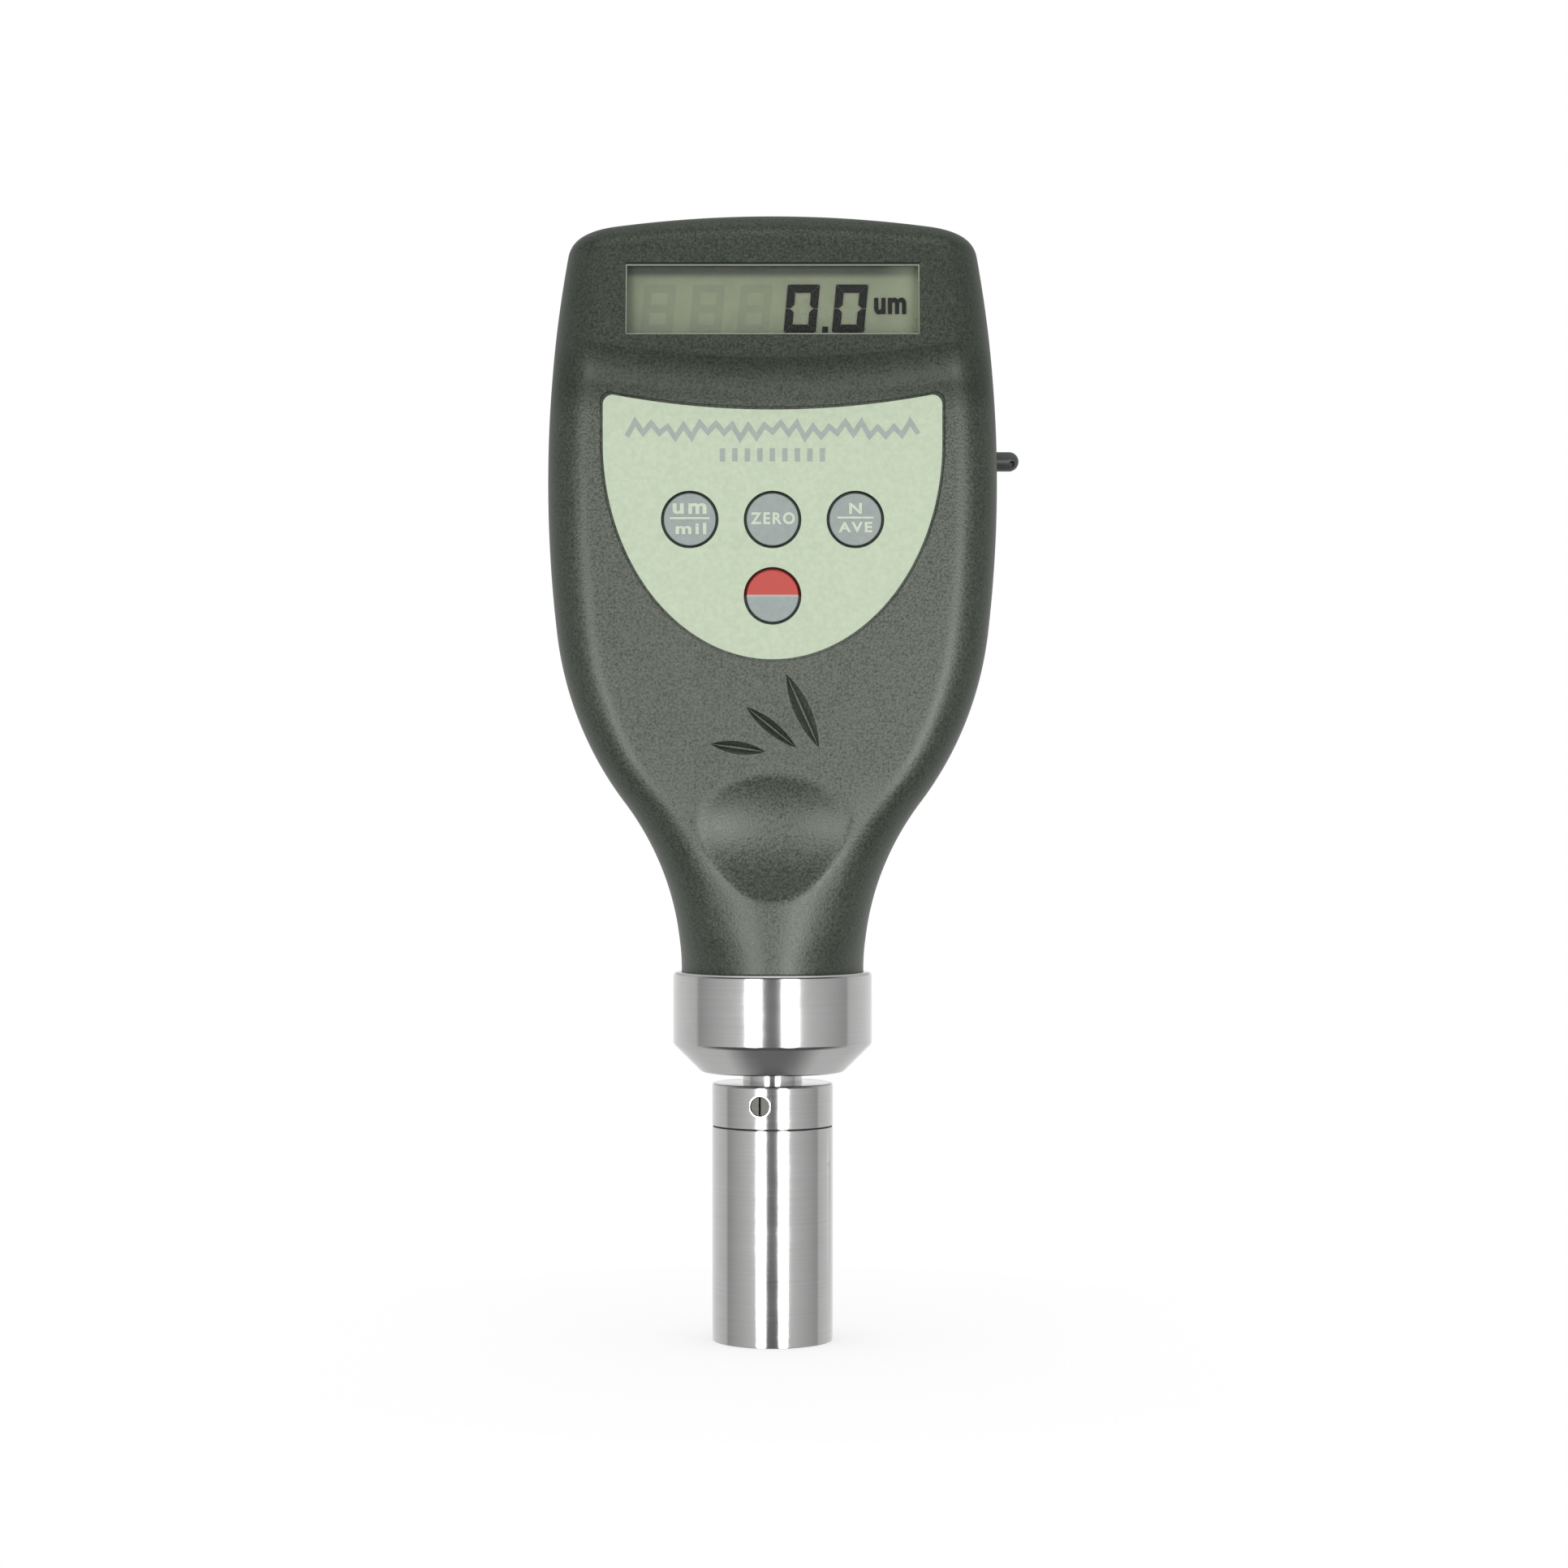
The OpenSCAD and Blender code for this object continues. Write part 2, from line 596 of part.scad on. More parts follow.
module key_units() color("silver") key_cap(keys[0]);

module key_zero() color("silver") key_cap(keys[1]);

module key_average() color("silver") key_cap(keys[2]);

module key_power() color("indianred") key_cap(keys[3]);

module switch_bodies() color("dimgray") for (k = keys) difference() {
    translate([k[0] - switch_w / 2, y_switch, k[1] - switch_w / 2]) cube([switch_w, switch_h, switch_w]);
    facing(k[0], y_board - switch_floor, k[1]) cylinder(r = switch_hole_r, h = switch_h);
}

module button(k) {
    facing(k[0], y_foot, k[1]) cylinder(r = button_r, h = y_foot - y_button);
}

module button_units() color("black") button(keys[0]);

module button_zero() color("black") button(keys[1]);

module button_average() color("black") button(keys[2]);

module button_power() color("black") button(keys[3]);

module main_board() color("darkgreen") difference() {
    union() {
        translate([-board_w / 2, y_board, z_board]) cube([board_w, board_t, board_top - z_board]);
        translate([0, y_board, z_port - 5]) cube([port_x - 3.2, board_t, 10]);
    }
    for (b = board_bosses) facing(b[0], y_back + 1, b[1]) cylinder(r = 1.1, h = 4);
}

chip_t = 1.5;
module controller_chip() color("black") translate([-15, y_back, z_keys - 4]) cube([14, chip_t, 14]);

module sensor_chip() color("black") translate([5, y_back, z_keys - 7]) cube([9, chip_t, 6]);

socket_w = 8;
socket_d = 2.6;
socket_h = 4.4;
module lead_socket() color("ivory") translate([-socket_w / 2, y_back, z_board + 0.4]) difference() {
    cube([socket_w, socket_d, socket_h]);
    translate([1, 0.8, -1]) cube([socket_w - 2, 1.2, socket_h - 0.4]);
}

// The lead runs up the stem and over to its socket on the board
lead_r = 0.55;
lead_y = y_back + 1.4;
lead_path = concat([for (i = [0:3]) [0, 0, mix(z_seat + 1, z_stem + 2, i / 3)]],
    [for (i = [1:8]) let (t = i / 8) [0, lead_y * smooth(t), mix(z_stem + 2, z_board - 1, t)]],
    [[0, lead_y, z_board + 2.6]]);
module sensor_lead() color("gray") {
    n = 8;
    m = len(lead_path);
    points = [for (p = lead_path, i = [0:n - 1]) let (q = 360 * i / n) p + lead_r * [cos(q), sin(q), 0]];
    polyhedron(points = points, faces = [for (f = tube_faces(n, m)) turned(f)], convexity = 4);
}

module board_screws() color("silver") for (b = board_bosses) {
    facing(b[0], y_back + pan_t, b[1]) difference() {
        cylinder(r = pan_r, h = pan_t);
        translate([-pan_r - 0.1, -0.25, -0.1]) cube([2 * pan_r + 0.2, 0.5, 0.8]);
    }
    facing(b[0], y_back, b[1]) cylinder(r = pan_thread_r, h = pan_thread_l);
}

module case_screws() color("silver") for (b = case_bosses) {
    facing(b[0], head_y, b[1]) difference() {
        cylinder(r = head_r, h = head_t);
        for (q = [0, 90]) rotate([0, 0, q]) translate([-1.3, -0.3, -0.1]) cube([2.6, 0.6, 1]);
    }
    facing(b[0], head_y - head_t, b[1]) cylinder(r = thread_r, h = thread_l);
}

module data_jack() color("black") difference() {
    translate([jack_x, y_back, z_port - jack_h / 2])
        cube([port_x - wall - 0.3 - jack_x, plug_r + 1.4 - y_back, jack_h]);
    translate([jack_x + 0.7, 0, z_port]) rotate([0, 90, 0]) cylinder(r = plug_r + plug_fit, h = port_x);
}

module port_plug() color("black") difference() {
    translate([port_x + plug_out - plug_r, 0, z_port]) {
        rotate([0, -90, 0]) cylinder(r = plug_r, h = plug_out - plug_r + plug_in);
        sphere(r = plug_r);
    }
    facing(port_x + plug_out - plug_r + 0.3, -eye_floor, z_port - 0.5)
        cylinder(r = eye_r, h = plug_d, $fn = 32);
}

// Cells stand side by side, turned end for end in turn
contact_w = 8;
nub_r = 1.8;
nub_l = 0.9;
cell_off = 0.65;
function cell_x(i) = (i - (bay_n - 1) / 2) * cell_step;
module cell(i) {
    up = i % 2 == 0;
    translate([cell_x(i), y_cell, up ? z_bay1 - cell_off : z_bay0 + cell_off]) rotate([up ? 180 : 0, 0, 0]) {
        cylinder(r = nub_r, h = nub_l + 0.2);
        translate([0, 0, nub_l]) cylinder(d = cell_d, h = cell_l - nub_l);
    }
}

module cell_1() color("slategray") cell(0);

module cell_2() color("slategray") cell(1);

module cell_3() color("slategray") cell(2);

module cell_4() color("slategray") cell(3);

module spring_contacts() color("gold") for (i = [0:bay_n - 1]) {
    up = i % 2 == 0;
    gap = spring_room - cell_off - 0.1;
    leaf = [[-3.6, 0.2], [-3.2, 0.2], [0, gap - 0.45], [3.2, 1.6], [3.5, 1.8], [0.3, gap], [-0.3, gap]];
    translate([cell_x(i), y_cell, up ? z_bay0 + 0.05 : z_bay1 - 0.05]) rotate([up ? 0 : 180, 0, 0]) {
        translate([-contact_w / 2, -contact_w / 2, 0]) cube([contact_w, contact_w, 0.4]);
        rotate([90, 0, 90]) translate([0, 0, -2.5]) linear_extrude(height = 5) polygon(leaf);
    }
}

module plate_contacts() color("gold") for (i = [0:bay_n - 1])
    translate([cell_x(i) - contact_w / 2, y_cell - contact_w / 2, i % 2 == 0 ? z_bay1 - 0.6 : z_bay0 + 0.1])
        cube([contact_w, contact_w, 0.5]);

// Turned probe parts; profiles are [radius, height]
function round_in(r, z, q0, q1, c) = [for (i = [0:6]) let (q = mix(q0, q1, i / 6))
    [r + c * cos(q), z + c * sin(q)]];
taper_in = 4.5;
taper_h = 4.4;
taper_a = 43;
module collar() color("silver") rotate_extrude($fn = 128) polygon(concat(
    [[stem_r + stem_fit, z_collar]],
    round_in(collar_r - taper_in, z_collar + 1, -90, -taper_a, 1),
    round_in(collar_r - 0.8, z_collar + taper_h, -taper_a, 0, 0.8),
    round_in(collar_r - 0.6, z_rim - 0.6, 0, 90, 0.6),
    [[neck_r + neck_fit, z_rim], [neck_r + neck_fit, z_socket], [stem_r + stem_fit, z_socket]]));

module stem() color("silver") rotate_extrude() polygon([[stem_bore, z_seat + 0.05], [stem_r, z_seat + 0.05],
    [stem_r, z_flange], [flange_r, z_flange], [flange_r, z_flange + flange_t], [stem_r, z_flange + flange_t],
    [stem_r, z_stem], [stem_bore, z_stem]]);

module at_lock() {
    translate([0, 0, z_lock]) rotate([0, 0, -lock_turn]) rotate([90, 0, 0]) children();
}

module lock_ring() color("silver") difference() {
    rotate_extrude($fn = 128) polygon(concat(
        [[bush_r, z_spigot], [bore_r - 0.05, z_spigot], [bore_r - 0.05, z_split], [foot_r - bevel, z_split],
         [foot_r, z_split + bevel]],
        round_in(foot_r - ring_round, z_ring - ring_round, 0, 90, ring_round),
        [[stem_r + stem_fit, z_ring], [stem_r + stem_fit, z_seat], [lead_hole, z_seat],
         [lead_hole, z_spigot + bush_l], [bush_r, z_spigot + bush_l]]));
    at_lock() cylinder(r = lock_r + 0.03, h = foot_r + 2);
    at_lock() translate([0, 0, foot_r - 0.35]) cylinder(r1 = lock_r, r2 = lock_r + 0.6, h = 0.6);
}

module lock_screw() color("dimgray") at_lock() difference() {
    translate([0, 0, stem_r + 0.05]) cylinder(r = lock_r, h = foot_r - 0.45 - stem_r - 0.05);
    translate([-0.22, -3, foot_r - 1.25]) cube([0.44, 6, 2]);
}

module probe_sleeve() color("silver") difference() {
    rotate_extrude($fn = 128) polygon([[bore_r, 0], [foot_r, 0], [foot_r, z_split - bevel],
        [foot_r - bevel, z_split], [bore_r, z_split]]);
    translate([0, 0, mark_up]) rotate([90, 0, mark_turn])
        translate([0, 0, foot_r - mark_d]) cylinder(r = mark_r, h = 2, $fn = 32);
}

// A plug pressed into the sleeve's end, set back so that the sleeve's rim carries the gauge
module foot_plug() color("silver") rotate_extrude($fn = 128) polygon([[hole_r, plug_back],
    [bore_r - press, plug_back], [bore_r - press, z_coil], [chamber_r, z_coil], [chamber_r, floor_t],
    [bush_r, floor_t], [bush_r, lip_t], [hole_r, lip_t]]);

// A plain bearing of bore r from height z0 to z1
module bush(r, z0, z1) {
    translate([0, 0, z0]) difference() {
        cylinder(r = bush_r, h = z1 - z0);
        translate([0, 0, -1]) cylinder(r = r, h = z1 - z0 + 2);
    }
}

module guide_bush() color("goldenrod") bush(needle_r + needle_fit, lip_t + seat_gap, bush_top);

module upper_bush() color("goldenrod")
    bush(rod_r + needle_fit, z_spigot + seat_gap, z_spigot + bush_l - seat_gap);

coil_l = z_spigot - 0.05 - z_coil - seat_gap;
coil_n = 3;
web_t = 0.7;
coil_step = (coil_l - web_t) / coil_n;
hub_r = coil_hole + 0.8;
module coil_bobbin() color("ivory") difference() {
    union() {
        translate([0, 0, z_coil + seat_gap]) cylinder(r = hub_r, h = coil_l);
        for (i = [0:coil_n]) translate([0, 0, z_coil + seat_gap + i * coil_step])
            cylinder(r = bore_r - 0.1, h = web_t);
    }
    translate([0, 0, z_coil - 1]) cylinder(r = coil_hole, h = coil_l + 2);
}

module coil_windings() color("chocolate") for (i = [0:coil_n - 1])
    translate([0, 0, z_coil + seat_gap + 0.05 + web_t + i * coil_step]) difference() {
        cylinder(r = bore_r - 0.6, h = coil_step - web_t - 0.1);
        translate([0, 0, -1]) cylinder(r = hub_r + 0.03, h = coil_l);
    }

module needle() color("silver") rotate_extrude() polygon([[0, 0], [tip_r, 0],
    [needle_r, (needle_r - tip_r) / tan(needle_angle / 2)], [needle_r, stop_z], [stop_r, stop_z],
    [stop_r, stop_z + stop_t], [rod_r, stop_z + stop_t], [rod_r, z_rod], [0, z_rod]]);

module needle_core() color("gray") translate([0, 0, z_coil + 2.4]) difference() {
    cylinder(r = core_r, h = z_spigot - z_coil - 4.6);
    translate([0, 0, -1]) cylinder(r = rod_r, h = z_spigot - z_coil);
}

// A coil of round wire, squared off by its open ends
wire_r = 0.25;
module return_spring() color("silver") {
    n = 6;
    turns = 4;
    m = turns * 14 + 1;
    r = coil_hole + 0.4;
    z0 = stop_z + stop_t + wire_r + 0.03;
    l = spring_l - 2 * wire_r - 0.06;
    points = [for (k = [0:m - 1], i = [0:n - 1])
        let (t = k / (m - 1), q = 360 * turns * t, a = 360 * i / n, w = r + wire_r * cos(a))
        [w * cos(q), w * sin(q), z0 + l * t + wire_r * sin(a)]];
    polyhedron(points = points, faces = tube_faces(n, m), convexity = 8);
}

front_shell();
rear_shell();
battery_cover();
display_window();
lcd_panel();
lcd_frame();
contact_strips();
keypad_overlay();
key_units();
key_zero();
key_average();
key_power();
switch_bodies();
button_units();
button_zero();
button_average();
button_power();
main_board();
controller_chip();
sensor_chip();
lead_socket();
sensor_lead();
board_screws();
case_screws();
data_jack();
port_plug();
cell_1();
cell_2();
cell_3();
cell_4();
spring_contacts();
plate_contacts();
collar();
stem();
lock_ring();
lock_screw();
probe_sleeve();
foot_plug();
guide_bush();
upper_bush();
coil_bobbin();
coil_windings();
needle();
needle_core();
return_spring();
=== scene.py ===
import math
from types import SimpleNamespace

import bmesh
import bpy
import numpy as np
from mathutils import Matrix, Vector


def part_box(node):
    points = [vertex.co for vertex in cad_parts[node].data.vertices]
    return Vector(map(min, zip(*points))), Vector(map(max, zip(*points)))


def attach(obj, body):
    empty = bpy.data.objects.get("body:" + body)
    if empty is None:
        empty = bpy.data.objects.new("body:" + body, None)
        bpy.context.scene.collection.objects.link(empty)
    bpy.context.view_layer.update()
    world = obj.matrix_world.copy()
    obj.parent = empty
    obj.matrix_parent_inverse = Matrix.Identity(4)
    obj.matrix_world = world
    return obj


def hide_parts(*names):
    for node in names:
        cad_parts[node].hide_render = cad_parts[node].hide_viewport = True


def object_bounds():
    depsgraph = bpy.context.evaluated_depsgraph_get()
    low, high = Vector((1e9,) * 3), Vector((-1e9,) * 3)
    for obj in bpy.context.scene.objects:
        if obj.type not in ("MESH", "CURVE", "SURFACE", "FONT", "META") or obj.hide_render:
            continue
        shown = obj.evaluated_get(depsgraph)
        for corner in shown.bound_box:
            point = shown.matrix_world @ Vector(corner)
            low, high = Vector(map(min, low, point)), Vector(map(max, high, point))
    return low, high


bl_info = {
    "name": "Surface Roughness Tester",
    "version": (1, 0, 0),
    "blender": (4, 5, 0),
    "location": "3D View > Sidebar > Gauge",
    "description": "Builds the looks of a hand-held surface roughness tester and a plain stage for it",
    "category": "Object",
}

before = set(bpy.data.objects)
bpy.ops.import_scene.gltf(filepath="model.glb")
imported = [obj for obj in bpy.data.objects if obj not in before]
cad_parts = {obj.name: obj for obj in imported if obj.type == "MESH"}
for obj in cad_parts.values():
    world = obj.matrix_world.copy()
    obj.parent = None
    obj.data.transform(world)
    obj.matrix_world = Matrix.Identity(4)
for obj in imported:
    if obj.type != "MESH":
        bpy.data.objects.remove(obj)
cad_lo, cad_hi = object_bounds()
MM = 0.001


def tint(red, green, blue):
    """Linear colour from display values of 0 to 255."""
    parts = [c / 255 for c in (red, green, blue)]
    return tuple(c / 12.92 if c < 0.04045 else ((c + 0.055) / 1.055) ** 2.4 for c in parts)


def colour_prop(name, text, default):
    return bpy.props.FloatVectorProperty(name=name, description=text, default=default, size=3,
                                         min=0, max=1, subtype="COLOR")


def length_prop(name, text, default):
    return bpy.props.FloatProperty(name=name, description=text, default=default * MM, min=0,
                                   unit="LENGTH", precision=5)


# What a user may change
class GaugeColours(bpy.types.PropertyGroup):
    case: colour_prop("Casing", "Moulded casing plastic", tint(49, 56, 48))
    overlay: colour_prop("Overlay", "Printed keypad sheet", tint(196, 210, 184))
    print_grey: colour_prop("Overlay print", "Lines printed on the keypad sheet", tint(166, 174, 168))
    key_grey: colour_prop("Keys", "Grey keys", tint(157, 167, 164))
    key_red: colour_prop("Power key", "Upper half of the power key", tint(200, 80, 72))
    legend: colour_prop("Legends", "Lettering on the keys", tint(206, 217, 196))
    display: colour_prop("Display", "Display background", tint(133, 143, 112))
    digits: colour_prop("Digits", "Dark display segments", tint(30, 30, 30))
    steel: colour_prop("Steel", "Turned steel of the probe", (0.60, 0.60, 0.595))


class GaugeSizes(bpy.types.PropertyGroup):
    digit_h: length_prop("Digit height", "Height of the display digits", 6.75)
    digit_w: length_prop("Digit width", "Width of a display digit", 4.5)
    segment_t: length_prop("Segment width", "Width of a display segment", 1.14)
    legend_h: length_prop("Legend height", "Height of the key lettering", 1.55)
    # The pale line round the window is a painted highlight for the light its edge catches.
    edge_highlight_w: length_prop("Edge highlight width", "Width of the pale line round the window", 0.17)
    grain: bpy.props.FloatProperty(name="Grain", description="Moulded grains per metre",
                                   default=3000, min=100)


class GaugeStage(bpy.types.PropertyGroup):
    strip_power: bpy.props.FloatProperty(name="Strip lamps", description="Power of each tall strip lamp",
                                         default=5.8, min=0, unit="POWER")
    fill: bpy.props.FloatProperty(name="Fill", description="Strength of the light from all round",
                                  default=1.0, min=0)
    lens: bpy.props.FloatProperty(name="Lens", description="Focal length in millimetres",
                                  default=65.2, min=10)


# Casing form in millimetres: the CAD model's, with a smaller dimple and a flatter neck front
Z_TOP = cad_hi.z / MM
NECK_R = 13.1
FRONT_D = 12.4
BACK_D = 13.5
WALL = 2.0
SIDE_R = 181.0
SHOULDER_R = 49.3
FLARE_R = 39.7
CROWN_R = 168.0
CORNER_R = 3.8
EDGE_R = 6.3
TOP_R = 3.0
HALF_W = 31.9
Z_WIDE = Z_TOP - 37.25
Z_BOT = 46.1
Z_RIM = 53.05
Z_CREASE = 138.0
CREASE_R = 149.0
BEZEL_RISE = 1.6
BEZEL_TILT = math.radians(7.5)
FILLET_L = 4.3
CREST_L = 1.2
Z_DIMPLE = 72.9
DIMPLE_W = 24.6
DIMPLE_H = 17.4
DIMPLE_D = 1.9
DIMPLE_WALL = 1.3
Z_BEND = Z_TOP - 30
ARC_N = 14
SIDE_N = 4
FLAT_N = 44
ARC_MARKS = [0, 12, 25, 38, 51, 64, 77, 90]
ARC_TURNS = [0.82, 1, 2, 3, 4, 5, 6, 7]
TURNS = 26

# Display, keypad and grip
WINDOW = (41.2, 10.35, 147.66)
LENS = (43.6, 12.1)
Y_LENS = -11.58
Y_LCD = -10.3
OVERLAY_W = 47.6
OVERLAY_LOW = 30.4
OVERLAY_UP = 6.7
OVERLAY_DIP = 2.1
OVERLAY_C = 1.4
Z_OVERLAY = 127.6
Y_RECESS = -11.9
OVERLAY_T = 0.4
KEY_R = 3.63
KEY_HOLE_R = 4.03
KEYS = {"units": (-11.6, 116.8), "zero": (0.0, 116.8), "average": (11.6, 116.8), "power": (0.0, 106.1)}
LEAVES = [(4.2, 90.0, 11.3, 2.3, 66), (-0.2, 87.7, 9.1, 1.75, 39), (-4.85, 84.8, 7.7, 1.8, 8)]
LEAF_D = 0.5
# Height of the painted shadow strip along the window's top.
SHADOW_STRIP_H = 0.26
Z_DIGITS = 143.3
LIT_X = (1.55, 8.35)
DOT_X = 6.95
FAINT_X = (-18.6, -11.75, -5.05)
DIGIT_LEAN = math.tan(math.radians(5.2))
KEY_FACE = 12.35
KEY_EDGE_R = 0.22
KEY_STALK_R = 1.5
KEY_FLANGE_R = 4.7
KEY_FLANGE = (9.6, 10.3)

# Key lettering as (word, place from the key's centre, width, share of the legend height)
WORDS = {"units": [("um", -0.02, 1.5, 4.75, 1.0), ("mil", 0.18, -1.27, 4.3, 1.04)],
         "zero": [("ZERO", 0.02, 0.15, 6.2, 1.1)],
         "average": [("N", 0.02, 1.53, 1.8, 1.0), ("AVE", 0.0, -1.08, 4.75, 0.96)]}
RULES = {"units": (-0.02, 0.17, 5.55), "average": (0.02, 0.25, 5.1)}
RULE_T = 0.28

# Back, port and probe
TOE = 1.4
COVER_GAP = 0.15
GRIP_N = 6
GRIP_STEP = 2
GRIP_UP = 6.45
BOSS_R = 3.2
BOSS_NECK_R = 2.3
SINK_R = 2.45
SINK_Y = 4.4
SCREW_HOLE_R = 1.35
Z_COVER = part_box("battery_cover")[0].z / MM + TOE
COVER = {"w": 44.1, "tongue_w": 46.7, "y": 10.9, "t": 1.2, "z": Z_COVER, "toe": TOE}
BAY = {"w": 43.9, "wall": 1.9, "z0": Z_COVER + 1.5, "z1": Z_COVER + 52.5, "y": 0.2}
Z_PORT = 126.6
PORT_HOLE_R = 1.55
Z_COLLAR = 38.6
COLLAR_R = 14.32
FOOT_R = 8.7
Z_SPLIT = 30.95
Z_RING = 37.05
STEM_R = 4.28
STEM_GAP = 0.03
SLEEVE_BORE_R = 5.9
RING_BORE_R = 5.85
LOCK_TURN = math.radians(12.2)
Z_LOCK = 34.2
LOCK_R = 1.44
MARK_TURN = math.radians(68)
Z_MARK = 25.5

# Stage: metres for the camera and lamps, millimetres for the cards and floor
CAMERA = (0, -0.410, 0.0683)
SHIFT = (0.0073, 0.0521)
STRIP = (0.27, 0.43)
STRIP_AWAY = 1.2
STRIP_Z = -0.01
CARD_R = 1300
CARD_Z = (-800, 900)
FLOOR_R = 75
FLOOR_Z = -0.02


def blend(a, b, k):
    return a + (b - a) * k


def smooth(t):
    u = min(max(t, 0.0), 1.0)
    return u * u * (3 - 2 * u)


def soft_max(a, b, k):
    h = np.clip(0.5 + 0.5 * (a - b) / k, 0, 1)
    return blend(b, a, h) + k * h * (1 - h)


def meet(p, a, q, b):
    """Left-hand crossing of the circle of radius a about p and of radius b about q."""
    d = q - p
    n = float(np.hypot(*d))
    e = d / n
    t = (a * a - b * b + n * n) / (2 * n)
    h = math.sqrt(max(a * a - t * t, 0))
    return p + e * t + h * np.array([-e[1], e[0]])


C_SIDE = np.array([HALF_W - SIDE_R, Z_WIDE])
C_FLARE = np.array([NECK_R + FLARE_R, Z_RIM + 0.4])
C_CROWN = np.array([0.0, Z_TOP - CROWN_R])
C_SHOULDER = meet(C_SIDE, SIDE_R - SHOULDER_R, C_FLARE, SHOULDER_R + FLARE_R)
C_CORNER = meet(C_SIDE, SIDE_R - CORNER_R, C_CROWN, CROWN_R - CORNER_R)


def toward(p, q, r):
    d = q - p
    return p + d / np.hypot(*d) * r


Z_SIDE = toward(C_SIDE, C_SHOULDER, SIDE_R)[1]
Z_TURN = toward(C_SHOULDER, C_FLARE, SHOULDER_R)[1]
TURN_A = math.atan2(*(C_CORNER - C_SIDE)[::-1])
TURN_B = math.atan2(*(C_CORNER - C_CROWN)[::-1])
Z_CORNER = C_CORNER[1] + CORNER_R * math.sin(TURN_A)


def half_w(z):
    """Half the casing's width at height z."""
    if z >= Z_SIDE:
        return C_SIDE[0] + math.sqrt(SIDE_R ** 2 - (z - C_SIDE[1]) ** 2)
    if z >= Z_TURN:
        return C_SHOULDER[0] + math.sqrt(SHOULDER_R ** 2 - (z - C_SHOULDER[1]) ** 2)
    if z >= C_FLARE[1]:
        return C_FLARE[0] - math.sqrt(FLARE_R ** 2 - (z - C_FLARE[1]) ** 2)
    return NECK_R


CREASE_SAG = half_w(Z_CREASE) ** 2 / (2 * CREASE_R)
Z_BOSS = Z_TOP - 15
BOSS_X = half_w(Z_BOSS) - WALL - 1.5
SCREWS = [(-BOSS_X, Z_BOSS), (BOSS_X, Z_BOSS), (-14.5, Z_COVER - 13.5), (14.5, Z_COVER - 13.5)]


def square_at(z):
    return smooth((z - Z_RIM - 4) / 27)


def flat_at(z):
    """How far the section has gone from round to square; its front flattens just above the collar."""
    return 1 - (1 - square_at(z)) * (1 - 0.4 * smooth((z - Z_RIM) / 6))


def depth_at(z, d):
    return blend(NECK_R, d, square_at(z))


def rise(dz):
    """How far the bezel stands out, dz above the crease line."""
    if dz <= -FILLET_L:
        return 0.0
    if dz <= CREST_L:
        return BEZEL_RISE * ((dz + FILLET_L) / (FILLET_L + CREST_L)) ** 2
    return BEZEL_RISE - (dz - CREST_L) * math.tan(BEZEL_TILT)


def section(w, f, e, b, lift):
    """Half outline of the casing, from its left parting edge round the front to the right one."""
    part = np.linspace(0, 1, SIDE_N, endpoint=False)
    arc = np.linspace(0, 90, ARC_N + 1)
    bow = np.radians(arc)
    run = np.linspace(0, 1, FLAT_N + 1)[1:-1]
    left_x = np.concatenate([np.full(SIDE_N, -w), -(w - e) - e * np.cos(bow)])
    left_y = np.concatenate([-(f - e) * part, -(f - e) - e * np.sin(bow)])
    left_u = np.concatenate([ARC_TURNS[0] * part, np.interp(arc, ARC_MARKS, ARC_TURNS)])
    left_k = np.concatenate([np.zeros(SIDE_N), np.sin(bow)])
    x = np.concatenate([left_x, (w - e) * (2 * run - 1), -left_x[::-1]])
    y = np.concatenate([left_y, np.full(len(run), -f), left_y[::-1]])
    u = np.concatenate([left_u, 7 + 12 * run, TURNS - left_u[::-1]])
    k = np.concatenate([left_k, np.ones(len(run)), left_k[::-1]])
    angle = math.pi * u / TURNS
    x = blend(-w * np.cos(angle), x, b)
    y = blend(-f * np.sin(angle), y, b) - lift * k
    return x, y


def level(z, d, t):
    return (z, z, half_w(z) - t, depth_at(z, d) - t, EDGE_R - t, flat_at(z), 0.0)


def bent(zc, zs, d, t, lift):
    return (zc, zs, half_w(zs) - t, d - t, EDGE_R - t, 1.0, lift)


def capped(k, d, t, lift):
    a = blend(TURN_A, TURN_B, k)
    r = TOP_R - t
    cut = r * (1 - math.cos(math.pi / 2 * k))
    return (Z_TOP - TOP_R + r * math.sin(math.pi / 2 * k), C_CORNER[1] + (CORNER_R - t) * math.sin(a),
            C_CORNER[0] + (CORNER_R - t) * math.cos(a), d - t - cut, EDGE_R - t - cut * 0.8, 1.0,
            lift * (1 - k))


def front_rows(t):
    show = 1 if t == 0 else 0
    rows = [level(z, FRONT_D, t) for z in np.linspace(Z_BOT, Z_RIM, 6)]
    rows += [level(z, FRONT_D, t) for z in np.linspace(Z_RIM, Z_CREASE - 8, 120)[1:]]
    low = Z_CREASE - FILLET_L
    rows += [bent(blend(Z_CREASE - 8, low, k), blend(Z_CREASE - 8, low + CREASE_SAG, k), FRONT_D, t, 0)
             for k in np.linspace(0, 1, 8)[1:]]
    for dz in np.linspace(-FILLET_L, CREST_L, 24)[1:]:
        rows.append(bent(Z_CREASE + dz, Z_CREASE + CREASE_SAG + dz, FRONT_D, t, show * rise(dz)))
    z0 = Z_CREASE + CREST_L
    for k in np.linspace(0, 1, 24)[1:]:
        zc = blend(z0, Z_TOP - TOP_R, k)
        rows.append(bent(zc, blend(z0 + CREASE_SAG, Z_CORNER, k), FRONT_D, t, show * rise(zc - Z_CREASE)))
    rows += [capped(k, FRONT_D, t, show * rise(Z_TOP - TOP_R - Z_CREASE)) for k in np.linspace(0, 1, 11)[1:]]
    return rows


